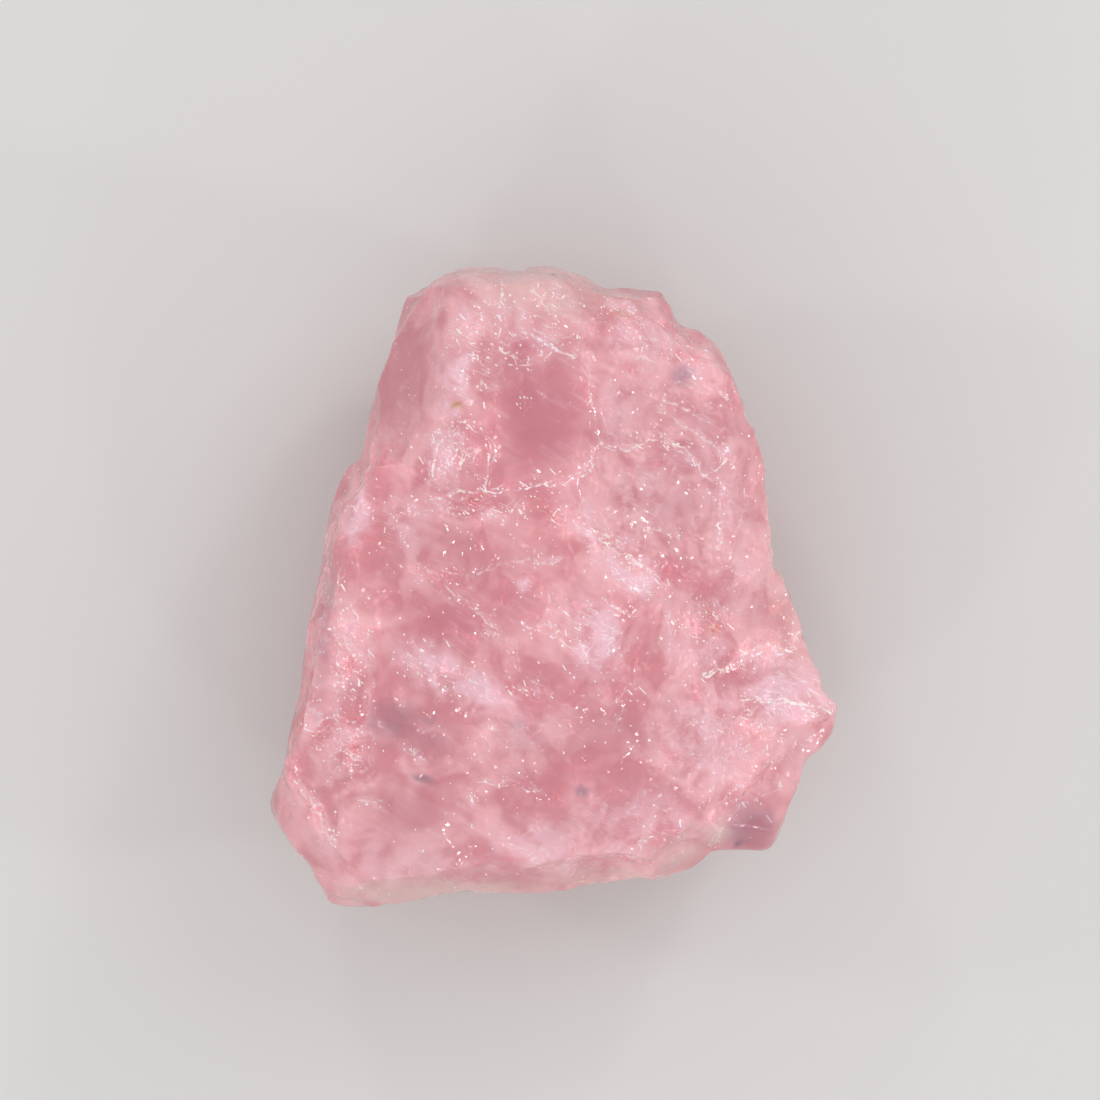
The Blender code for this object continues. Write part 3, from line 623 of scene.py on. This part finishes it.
# Painted light: a pale painted reflection along the foot band, the foot and the spur, where the faces turn down, and a
# painted glow along the thin right and top rims
CREAM_AND_PAINTED_GLOW = [
    (-5.0, -13.2, 4.5, 0.7, 0, 0.9), (2.5, -12.7, 3.0, 0.6, 0, 0.7), (5.6, -11.8, 1.2, 0.8, 0, 0.7),
    (7.2, -10.8, 0.5, 0.6, -30, 1.0), (10.9, 3.0, 1.6, 9.0, 0, 0.5), (-0.5, 12.6, 3.2, 1.2, 0, 0.6),
]


def spread(zone, places):
    """How much of a zone some places of the face have, from 0 to 1, with soft edges."""
    share = np.zeros(len(places))
    for x, y, half_width, half_length, degrees, strength in zone:
        turn = radians(degrees)
        across, along = (places - (x, y)).T
        a = (across * np.cos(turn) + along * np.sin(turn)) / half_width
        b = (along * np.cos(turn) - across * np.sin(turn)) / half_length
        share = np.maximum(share, strength * np.exp(-((a * a + b * b) ** 1.5)))
    return share


print(len(CRUSHED_AND_PAINTED_GLINTS), "crushed spots,", len(MILKY_AND_PAINTED_HIGHLIGHT), "milky ones,", len(DEEP_AND_PAINTED_SHADE), "deep windows,", len(SMOKY_AND_PAINTED_SHADE), "smoky spots")

# %% [markdown]
# ## Seams and zones put on the skin
#
# The lines and spots above are too regular for a broken stone. Reading them at places that noise has
# pushed about by a fraction of a millimetre frays them, which is the cheapest way to make a drawn line
# look grown. The unseen back has no list: noise alone sets its zones.

# %% Lift the seams and measure the zones
FRAY = 0.16
FRAY_SPACING = 0.7
BACK_SPACING = 4.0
SEAM_REACH = 0.25
CRACKED = 1.5
CLOUD = 3.5
WISP = 0.9

on_face = np.clip((height_above_rim(spots) - 0.6) / 1.2, 0, 1)
above = np.clip(height_above_rim(spots) + 0.5, 0, 1)
on_back = np.clip((np.abs(height_above_rim(spots)) - 0.8) / 3.0, 0, 1) * (1 - on_face)
fray = np.column_stack([noise_at(spots + shift, FRAY_SPACING, 2) for shift in (0.0, 57.0)])
places = spots[:, :2] + FRAY * fray
seam_strength = 0.65 + 0.5 * noise_at(spots + 91.0, 0.5, 2)
lift = np.zeros(len(spots))
pale = np.zeros(len(spots))
across = np.full(len(spots), 99.0)
for height, half_width, paleness, line in SEAMS.values():
    away = across_line(places, line)
    lift = np.maximum(lift, height * np.exp(-((away / half_width) ** 2)))
    nearer = np.abs(away) < np.abs(across)
    pale = np.where(nearer, paleness * np.clip(1.6 - np.abs(away) / SEAM_REACH, 0, 1), pale)
    across = np.where(nearer, away, across)
lift *= np.clip(seam_strength, 0.1, 1.2) * on_face
pale *= on_face
across = np.clip(across, -1, 1)

wide_places = spots[:, :2] + 2.2 * FRAY * fray
back_noise = [noise_at(spots + shift, BACK_SPACING, 3) for shift in (11.0, 23.0, 37.0, 43.0, 61.0)]
# Zones on the face come from the lists, painted shade, glow, highlights and glints among them; the back takes noise
crushed_and_painted_glints = spread(CRUSHED_AND_PAINTED_GLINTS, wide_places) * on_face + np.clip(back_noise[0] * 1.6, 0, 0.6) * on_back
deep_and_painted_shade = spread(DEEP_AND_PAINTED_SHADE, wide_places) * on_face + np.clip(back_noise[1] * 1.3 + 0.15, 0, 0.8) * (1 - on_face)
smoky_and_painted_shade = spread(SMOKY_AND_PAINTED_SHADE, places) * above + np.clip(back_noise[2] * 1.4 - 0.5, 0, 0.4) * (1 - on_face)
cream_and_painted_glow = spread(CREAM_AND_PAINTED_GLOW, wide_places) * (1 - 0.5 * (1 - on_face)) + np.clip(back_noise[3] - 0.3, 0, 0.6) * (1 - on_face)
milky_and_painted_highlight = spread(MILKY_AND_PAINTED_HIGHLIGHT, wide_places) * on_face + np.clip(back_noise[4] * 1.6, 0, 0.8) * on_back
stained = spread(STAINED, places) * above
ground = rough_share(spots)
tilts = (0.12 + 0.3 * ground + 0.7 * crushed_and_painted_glints) * (0.25 + 0.75 * on_face)
warp = np.column_stack([noise_at(spots + shift, CLOUD, 2) for shift in (3.0, 71.0, 83.0)])
clouds = 0.5 + 0.5 * noise_at(spots + 1.1 * CLOUD * warp, CLOUD, 4)
wisps = 0.5 + 0.5 * noise_at(spots + 1.5 * WISP * warp[:, ::-1], WISP, 4)
cracks = noise_at(spots * (1, 1.6, 1) + 1.2 * CRACKED * warp, CRACKED, 3)
spots = spots + rays * lift[:, None]
spots[:, 2] = np.maximum(spots[:, 2], 0.0)
print("seams lift the skin by up to %.2f mm" % lift.max())


# %% The skin as an object
# Narrow clefts beside the left column that the real stone doesn't have, as x, y and size
WORN = [(-8.9, -3.4, 0.9), (-8.7, -7.0, 0.9), (-10.2, -9.8, 0.9), (-9.0, -5.4, 0.7)]
WEAR_ROUNDS = 80


def shift_to_solid(spots):
    """Centres the skin on the solid's origin, as seen from above."""
    low, high = spots.min(0), spots.max(0)
    spots[:, :2] -= (low[:2] + high[:2]) / 2
    return spots


for vertex, spot in zip(ball.verts, shift_to_solid(spots)):
    vertex.co = spot * MILLIMETRE
for x, y, size in WORN:
    near = [v for v in ball.verts if v.co.z > RIM_HEIGHT * MILLIMETRE
            and np.hypot(v.co.x / MILLIMETRE - x, v.co.y / MILLIMETRE - y) < size]
    for _ in range(WEAR_ROUNDS):
        bmesh.ops.smooth_vert(ball, verts=near, factor=0.5, use_axis_x=True, use_axis_y=True, use_axis_z=True)
ball.normal_update()
level = np.clip(np.abs([vertex.normal.z for vertex in ball.verts]) * 2.5 - 0.6, 0, 1)
crushed_and_painted_glints *= 0.35 + 0.65 * level
milky_and_painted_highlight *= 0.5 + 0.5 * level
tilts *= 0.2 + 0.8 * level
mesh = bpy.data.meshes.new("stone_skin")
ball.to_mesh(mesh)
ball.free()
for name, values in (("crushed_and_painted_glints", crushed_and_painted_glints), ("deep_and_painted_shade", deep_and_painted_shade), ("pale", pale), ("smoky_and_painted_shade", smoky_and_painted_shade),
                     ("cream_and_painted_glow", cream_and_painted_glow), ("milky_and_painted_highlight", milky_and_painted_highlight), ("ground", ground), ("clouds", clouds), ("wisps", wisps),
                     ("across", across), ("cracks", cracks), ("stained", stained),
                     ("tilts", tilts)):
    layer = mesh.attributes.new(name, "FLOAT", "POINT")
    layer.data.foreach_set("value", np.ascontiguousarray(values, dtype=np.float32))
skin = bpy.data.objects.new("stone_skin", mesh)
bpy.context.scene.collection.objects.link(skin)
print("the skin has", len(mesh.vertices), "points, box", [round(d * 1000, 2) for d in skin.dimensions])

# %% [markdown]
# ## Fine chips, by Geometry Nodes
#
# Below a millimetre the breaks repeat by the thousand, so nobody places them by hand. A Geometry Nodes
# tree scatters points over the skin, more where it is crushed. Each point of the skin then asks for its
# nearest scattered point and sinks into a small bowl around it. A second part of the tree tips little
# cells of the surface by random angles, as tiny crystal faces do. The same tree is used twice, for
# coarse and for fine chips: that is what its named inputs are for.


# %% A tree that chips a surface
def chipping_tree():
    """A Geometry Nodes tree that sinks bowls into a mesh and tips its cells."""
    tree = bpy.data.node_groups.new("chip the surface", "GeometryNodeTree")
    sizes = {
        "Chips per square mm": 1.0,
        "Smallest reach mm": 0.3,
        "Largest reach mm": 0.8,
        "Depth share": 0.15,
        "Cell size mm": 0.6,
        "Cell tilt": 0.1,
    }
    tree.interface.new_socket("Geometry", in_out="INPUT", socket_type="NodeSocketGeometry")
    for name, value in sizes.items():
        tree.interface.new_socket(name, in_out="INPUT", socket_type="NodeSocketFloat").default_value = value
    tree.interface.new_socket("Seed", in_out="INPUT", socket_type="NodeSocketInt").default_value = 4
    tree.interface.new_socket("Finish", in_out="INPUT", socket_type="NodeSocketMaterial")
    tree.interface.new_socket("Geometry", in_out="OUTPUT", socket_type="NodeSocketGeometry")
    given = tree.nodes.new("NodeGroupInput").outputs

    def maths(operation, first, second=0.0, **settings):
        return add_node(tree, "ShaderNodeMath", {0: first, 1: second}, operation=operation, **settings).outputs[0]

    def vectors(operation, first, feeds=None, out="Vector"):
        return add_node(tree, "ShaderNodeVectorMath", {0: first, **(feeds or {})}, operation=operation).outputs[out]

    place = add_node(tree, "GeometryNodeInputPosition").outputs[0]
    facing = add_node(tree, "GeometryNodeInputNormal").outputs[0]
    crushed_and_painted_glints = add_node(tree, "GeometryNodeInputNamedAttribute", {"Name": "crushed_and_painted_glints"}, data_type="FLOAT").outputs[0]
    ground = add_node(tree, "GeometryNodeInputNamedAttribute", {"Name": "ground"}, data_type="FLOAT").outputs[0]
    wear = maths("MAXIMUM", crushed_and_painted_glints, maths("MULTIPLY", ground, 0.4))

    # Bowls: scatter, find the nearest, sink by how deep inside its ring the place is
    density = maths("MULTIPLY", maths("MULTIPLY", given["Chips per square mm"], 1e6), wear)
    scattered = add_node(
        tree,
        "GeometryNodeDistributePointsOnFaces",
        {"Mesh": given["Geometry"], "Density": density, "Seed": given["Seed"]},
        distribute_method="RANDOM",
    ).outputs["Points"]
    nearest = add_node(tree, "GeometryNodeSampleNearest", {"Geometry": scattered}, domain="POINT").outputs["Index"]
    centre = add_node(
        tree,
        "GeometryNodeSampleIndex",
        {"Geometry": scattered, "Value": place, "Index": nearest},
        data_type="FLOAT_VECTOR",
    ).outputs[0]
    any_reach = add_node(
        tree,
        "FunctionNodeRandomValue",
        {2: given["Smallest reach mm"], 3: given["Largest reach mm"], "Seed": given["Seed"]},
        data_type="FLOAT",
    ).outputs[1]
    reach = add_node(
        tree,
        "GeometryNodeSampleIndex",
        {"Geometry": scattered, "Value": any_reach, "Index": nearest},
        data_type="FLOAT",
    ).outputs[0]
    reach = maths("MULTIPLY", reach, MILLIMETRE)
    away = vectors("DISTANCE", place, {1: centre}, out="Value")
    share = maths("DIVIDE", away, reach)
    bowl = maths("MAXIMUM", maths("SUBTRACT", 1.0, maths("MULTIPLY", share, share)), 0.0)
    sink = maths("MULTIPLY", maths("MULTIPLY", bowl, reach), given["Depth share"])

    # Cells: each leans its own way, measured from its middle
    cells = add_node(
        tree,
        "ShaderNodeTexVoronoi",
        {"Vector": place, "Scale": maths("DIVIDE", 1000.0, given["Cell size mm"]), "Randomness": 1.0},
    ).outputs
    lean = vectors("SUBTRACT", cells["Color"], {1: (0.5, 0.5, 0.5)})
    from_middle = vectors("SUBTRACT", place, {1: cells["Position"]})
    tip = maths("MULTIPLY", vectors("DOT_PRODUCT", lean, {1: from_middle}, out="Value"), given["Cell tilt"])
    tip = maths("MULTIPLY", maths("MULTIPLY", tip, 2.0), wear)

    move = vectors("SCALE", facing, {"Scale": maths("SUBTRACT", tip, sink)})
    moved = add_node(tree, "GeometryNodeSetPosition", {"Geometry": given["Geometry"], "Offset": move}).outputs[0]
    whole = add_node(tree, "GeometryNodeRealizeInstances", {"Geometry": moved}).outputs[0]
    finished = add_node(tree, "GeometryNodeSetMaterial", {"Geometry": whole, "Material": given["Finish"]}).outputs[0]
    add_node(tree, "NodeGroupOutput", {"Geometry": finished})
    return tree


chipping = chipping_tree()
print("the chipping tree has", len(chipping.nodes), "nodes")

# %% [markdown]
# ## The finish: cloudy pink beryl, broken
#
# Beryl is a glassy silicate with a refractive index near 1.58. This stone is full of fluid veils, so light
# enters, scatters and comes out pink: subsurface scattering gives that milk, and a share of plain
# transmission with absorption gives the clear depth of the thin edges. The wet gloss is a clear coat with
# a relief of its own: tiny faces, pits and scratches tip it, while the cloudy body below stays smooth.
# Clean breaks look deep, and a few deep spots are painted shade. Crushed ground is paler, and white strokes, painted
# glints, mark the little cracks in it.
# Every pattern is in millimetres on Object coordinates.

# %% The beryl
FACET = 0.15
PIT = 0.4
FLECK = 0.55


def cloudy_beryl():
    """Cloudy pink beryl with broken surfaces."""
    material = bpy.data.materials.new("cloudy pink beryl, broken")
    material.use_nodes = True
    tree = material.node_tree
    tree.nodes.clear()

    def maths(operation, first, second=0.0, third=0.0, **settings):
        feeds = {0: first, 1: second, 2: third}
        return add_node(tree, "ShaderNodeMath", feeds, operation=operation, **settings).outputs[0]

    def vectors(operation, first, feeds=None):
        return add_node(tree, "ShaderNodeVectorMath", {0: first, **(feeds or {})}, operation=operation).outputs[0]

    def mix(share, first, second):
        return add_node(tree, "ShaderNodeMix", {0: share, 6: first, 7: second}, data_type="RGBA").outputs[2]

    def share_of(value, low, high, low_out=0.0, high_out=1.0):
        feeds = {"Value": value, "From Min": low, "From Max": high, "To Min": low_out, "To Max": high_out}
        return add_node(tree, "ShaderNodeMapRange", feeds).outputs[0]

    def streaks(degrees, length, width):
        """Long thin noise that runs one way across the face."""
        turned = add_node(tree, "ShaderNodeMapping", {
            "Vector": place,
            "Rotation": (0, 0, radians(degrees)),
            "Scale": (length * MILLIMETRE, width * MILLIMETRE, 2 * width * MILLIMETRE),
        }, vector_type="TEXTURE").outputs[0]
        feeds = {"Vector": turned, "Scale": 1.0, "Detail": 1.0, "Roughness": 0.5}
        return add_node(tree, "ShaderNodeTexNoise", feeds).outputs["Fac"]

    place = add_node(tree, "ShaderNodeTexCoord").outputs["Object"]
    zones = {name: add_node(tree, "ShaderNodeAttribute", attribute_name=name).outputs["Fac"]
             for name in ("crushed_and_painted_glints", "deep_and_painted_shade", "pale", "smoky_and_painted_shade", "cream_and_painted_glow", "milky_and_painted_highlight", "ground", "clouds", "wisps",
                          "across", "cracks", "stained", "tilts")}
    clouds, wisps = zones["clouds"], zones["wisps"]
    feathers = streaks(-32, 2.2, 0.22)
    scratches = streaks(-24, 1.1, 0.07)
    tiny = add_node(tree, "ShaderNodeTexVoronoi", {"Vector": place, "Scale": 1000 / FACET}).outputs
    chance = add_node(tree, "ShaderNodeSeparateColor", {"Color": tiny["Color"]}).outputs
    large = add_node(tree, "ShaderNodeTexVoronoi", {"Vector": place, "Scale": 1000 / FLECK}).outputs
    large_chance = add_node(tree, "ShaderNodeSeparateColor", {"Color": large["Color"]}).outputs

    # Colour: milk between the windows, deep pink in them, veils, white seams and scratches, smoke last; painted shade,
    # glow and glints ride on them
    cloudy = maths("MULTIPLY_ADD", maths("SUBTRACT", wisps, 0.5), 0.4, clouds)
    milk = mix(share_of(cloudy, 0.27, 0.73), linear("#D9868F"), linear("#F4B2B7"))
    # Deep pink in the windows; in the scoop and the recess it is painted shade
    pink = mix(maths("MULTIPLY", zones["deep_and_painted_shade"], 0.9), milk, linear("#D47B88"))
    # A pale painted glow and reflection on the foot and the thin rims; on the back a pale tone at random
    cream = mix(maths("MULTIPLY", zones["cream_and_painted_glow"], 0.8), pink, linear("#E2C3BA"))
    broken = maths("MAXIMUM", zones["crushed_and_painted_glints"], zones["milky_and_painted_highlight"])
    veiled = maths("MULTIPLY", share_of(feathers, 0.52, 0.74), share_of(clouds, 0.45, 0.60, 0.04, 0.36))
    veiled = maths("MAXIMUM", veiled, maths("MULTIPLY", zones["milky_and_painted_highlight"], share_of(wisps, 0.32, 0.62, 0.40, 1.25)))
    veiled = maths("MAXIMUM", veiled, maths("MULTIPLY", zones["crushed_and_painted_glints"], share_of(wisps, 0.42, 0.66, 0.0, 0.6)))
    milky_and_painted_highlight = mix(veiled, cream, linear("#F4C1CD"))
    lines = maths("MULTIPLY", share_of(scratches, 0.62, 0.70), maths("MULTIPLY", broken, 0.55))
    wander = maths("MULTIPLY", maths("SUBTRACT", wisps, 0.5), 0.35)
    first_line = maths("ABSOLUTE", maths("ADD", zones["across"], wander))
    second_line = maths("ABSOLUTE", maths("SUBTRACT", maths("SUBTRACT", zones["across"], 0.13), wander))
    seams = maths("MAXIMUM", share_of(first_line, 0.02, 0.06, 1.0, 0.0), share_of(second_line, 0.01, 0.04, 0.8, 0.0))
    dashes = maths("MULTIPLY", share_of(feathers, 0.40, 0.50, 0.2, 1.0), share_of(chance["Green"], 0.35, 0.55, 0.15, 1.1))
    seams = maths("MULTIPLY", seams, maths("MULTIPLY", zones["pale"], dashes))
    near_crack = share_of(maths("ABSOLUTE", zones["cracks"]), 0.008, 0.03, 0.9, 0.0)
    near_crack = maths("MULTIPLY", near_crack, maths("MULTIPLY", broken, share_of(feathers, 0.42, 0.55, 0.1, 1.0)))
    often = maths("SUBTRACT", 0.97, maths("MULTIPLY", maths("MAXIMUM", zones["crushed_and_painted_glints"], zones["pale"]), 0.5))
    white_and_painted_glints = maths("MAXIMUM", maths("MAXIMUM", seams, lines), near_crack)
    # Painted glints: white strokes in a few cells, more where the ground is crushed, stand in for tiny faces that
    # flash
    for cells, odds, size, half_width in ((tiny, chance, FACET, 0.16), (large, large_chance, FLECK, 0.04)):
        slanting = vectors("NORMALIZE", vectors("SUBTRACT", cells["Color"], {1: (0.5, 0.5, 0.5)}))
        off = vectors("SUBTRACT", place, {1: cells["Position"]})
        off = add_node(tree, "ShaderNodeVectorMath", {0: off, 1: slanting}, operation="DOT_PRODUCT").outputs["Value"]
        thin = maths("LESS_THAN", maths("ABSOLUTE", off), half_width * size * MILLIMETRE)
        short = maths("LESS_THAN", cells["Distance"], maths("MULTIPLY", odds["Green"], 0.5))
        painted_glint_stroke = maths("MULTIPLY", maths("GREATER_THAN", odds["Red"], often), maths("MULTIPLY", thin, short))
        white_and_painted_glints = maths("MAXIMUM", white_and_painted_glints, painted_glint_stroke)
    # The cream and lilac whites of the painted glints and the seams
    bright = mix(white_and_painted_glints, milky_and_painted_highlight, mix(share_of(wisps, 0.42, 0.58), linear("#FFF6EE"), linear("#FFF6FF")))
    bright = mix(zones["stained"], bright, linear("#C98F55"))
    # Smoke of the inclusions; on the left side face it is painted shade
    smoke_and_painted_shade = maths("MULTIPLY", zones["smoky_and_painted_shade"], share_of(wisps, 0.35, 0.65, 0.75, 1.0))
    colour = mix(smoke_and_painted_shade, bright, linear("#83607A"))

    # The gloss has its own small relief: tiny faces that lean every way where the stone is crushed, sparse
    # pits whose flanks catch the lamps, and the feathers and scratches
    facing = add_node(tree, "ShaderNodeNewGeometry").outputs["Normal"]
    lean = vectors("SUBTRACT", tiny["Color"], {1: (0.5, 0.5, 0.5)})
    facing = vectors("ADD", facing, {1: vectors("SCALE", lean, {"Scale": zones["tilts"]})})
    in_pit = maths("MULTIPLY", maths("LESS_THAN", tiny["Distance"], PIT), maths("GREATER_THAN", chance["Blue"], 0.93))
    from_middle = vectors("SUBTRACT", place, {1: tiny["Position"]})
    steep = maths("MULTIPLY", in_pit, -0.9 * 1000 / FACET / PIT)
    facing = vectors("ADD", facing, {1: vectors("SCALE", from_middle, {"Scale": steep})})
    for pattern, degrees, strength in ((scratches, -24, 1.8), (feathers, -32, 1.0)):
        across = (-np.sin(radians(degrees)), np.cos(radians(degrees)), 0)
        share = maths("MULTIPLY", maths("SUBTRACT", pattern, 0.5), maths("MULTIPLY", broken, strength))
        facing = vectors("ADD", facing, {1: vectors("SCALE", across, {"Scale": share})})
    smooth = add_node(tree, "ShaderNodeNewGeometry").outputs["Normal"]
    body = vectors("NORMALIZE", vectors("ADD", facing, {1: vectors("SCALE", smooth, {"Scale": 2.0})}))
    facing = vectors("NORMALIZE", facing)

    beryl = add_node(tree, "ShaderNodeBsdfPrincipled", {
        "Base Color": colour,
        "Roughness": share_of(clouds, 0.3, 0.7, 0.38, 0.52),
        "IOR": 1.58,
        "Transmission Weight": 0.15,
        "Subsurface Weight": 1.0,
        "Subsurface Radius": (1.0, 0.65, 0.68),
        "Subsurface Scale": 0.003,
        "Normal": body,
        "Specular IOR Level": 0.35,
        "Coat Weight": 0.85,
        "Coat Roughness": 0.07,
        "Coat IOR": 1.58,
        "Coat Normal": facing,
    })
    beryl.subsurface_method = "BURLEY"
    inside = add_node(tree, "ShaderNodeVolumeAbsorption", {"Color": linear("#F2A9B4"), "Density": 60.0})
    add_node(tree, "ShaderNodeOutputMaterial", {"Surface": beryl.outputs[0], "Volume": inside.outputs[0]})
    return material


beryl = cloudy_beryl()
print("finish:", beryl.name, "with", len(beryl.node_tree.nodes), "nodes")


# %% Chip the skin and make it a plain mesh
def set_input(modifier, name, value):
    """Sets a modifier's input by its socket's identifier."""
    for item in modifier.node_group.interface.items_tree:
        if item.item_type == "SOCKET" and item.in_out == "INPUT" and item.name == name:
            modifier[item.identifier] = value


CHIPPING = {
    "coarse chips": {"Chips per square mm": 0.55, "Smallest reach mm": 0.45, "Largest reach mm": 1.0,
                     "Depth share": 0.11, "Cell size mm": 1.3, "Cell tilt": 0.20, "Seed": 4},
    "fine chips": {"Chips per square mm": 3.5, "Smallest reach mm": 0.18, "Largest reach mm": 0.42,
                   "Depth share": 0.10, "Cell size mm": 0.5, "Cell tilt": 0.20, "Seed": 9},
}
for name, inputs in CHIPPING.items():
    modifier = skin.modifiers.new(name, "NODES")
    modifier.node_group = chipping
    for key, value in inputs.items():
        set_input(modifier, key, value)
    set_input(modifier, "Finish", beryl)
chipped = skin.evaluated_get(bpy.context.evaluated_depsgraph_get())
plain = bpy.data.meshes.new_from_object(chipped)
skin.modifiers.clear()
skin.data = plain
for vertex in plain.vertices:
    vertex.co.z = max(vertex.co.z, 0.0)
plain.shade_smooth()
plain.set_sharp_from_angle(angle=radians(38))
print("chipped skin:", len(plain.polygons), "triangles, finish", [m.name for m in plain.materials])

# %% Put the skin on the frame
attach(skin, "root")
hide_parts("morganite")
print("the skin stands for the solid")

# %% [markdown]
# ## Floor, light and camera
#
# The stone lies on a plain pale floor under a pale sky. A wide dim light overhead, a smaller key from
# the upper right and a fill from the foot shape it softly. A ring of small lamps stands low around it: flat ground mirrors none of
# them up to the camera, only tiny tipped faces do, so they flash one by one. The camera looks straight
# down with a long lens, so the outline is seen at its true shape.


# %% Floor
def plain_floor():
    """A wide plain floor under the stone."""
    sheet = bmesh.new()
    bmesh.ops.create_grid(sheet, x_segments=1, y_segments=1, size=1.5)
    mesh = bpy.data.meshes.new("floor")
    sheet.to_mesh(mesh)
    sheet.free()
    material = bpy.data.materials.new("matt pale board")
    material.use_nodes = True
    shader = material.node_tree.nodes["Principled BSDF"]
    shader.inputs["Base Color"].default_value = linear("#DCDAD8")
    shader.inputs["Roughness"].default_value = 0.7
    mesh.materials.append(material)
    floor = bpy.data.objects.new("floor", mesh)
    floor.location = (0, 0, -0.00005)
    bpy.context.scene.collection.objects.link(floor)
    return floor


plain_floor()
print("floor laid")


# %% Lights
def soft_light(name, place, size, power, colour="#FFFFFF"):
    """A square area light that points at the stone."""
    lamp = bpy.data.lights.new(name, "AREA")
    lamp.size = size
    lamp.energy = power
    lamp.color = linear(colour)[:3]
    made = bpy.data.objects.new(name, lamp)
    made.location = place
    made.rotation_euler = (Vector((0, 0, 0.008)) - Vector(place)).to_track_quat("-Z", "Y").to_euler()
    bpy.context.scene.collection.objects.link(made)
    return made


soft_light("sky box", (-0.08, -0.15, 0.53), 0.80, 0.40)
soft_light("fill", (-0.12, -0.30, 0.15), 0.25, 0.12)
soft_light("key", (0.22, 0.20, 0.24), 0.20, 0.20)
LAMPS = {"upper right": (52, 32, 0.06), "right": (-13, 26, 0.07), "low right": (-62, 30, 0.04),
         "low left": (-128, 28, 0.045), "left": (172, 22, 0.08), "upper left": (112, 33, 0.05)}
for name, (turn, height, power) in LAMPS.items():
    level = 0.30 * np.cos(radians(height))
    place = (level * np.cos(radians(turn)), level * np.sin(radians(turn)), 0.30 * np.sin(radians(height)))
    soft_light(name, place, 0.028, power)
world = bpy.data.worlds.new("studio")
world.use_nodes = True
world.node_tree.nodes["Background"].inputs["Color"].default_value = linear("#F4F4F6")
world.node_tree.nodes["Background"].inputs["Strength"].default_value = 0.68
bpy.context.scene.world = world
print(3 + len(LAMPS), "lights and a pale sky")

# %% Camera
PIXELS_PER_MM = 23.0
FRAME_PIXELS = 1100
LENS = 200.0
SENSOR = 36.0
AIM = (-0.11, 1.59, RIM_HEIGHT)

camera = bpy.data.cameras.new("camera")
camera.lens = LENS
camera.sensor_width = SENSOR
distance = FRAME_PIXELS / PIXELS_PER_MM * LENS / SENSOR
eye = bpy.data.objects.new("camera", camera)
eye.location = (AIM[0] * MILLIMETRE, AIM[1] * MILLIMETRE, (AIM[2] + distance) * MILLIMETRE)
bpy.context.scene.collection.objects.link(eye)
bpy.context.scene.camera = eye
camera.clip_start = 0.01
bpy.context.scene.view_settings.view_transform = "Standard"
bpy.context.scene.cycles.max_bounces = 6
print("the camera hangs %.0f mm above the rim" % distance)
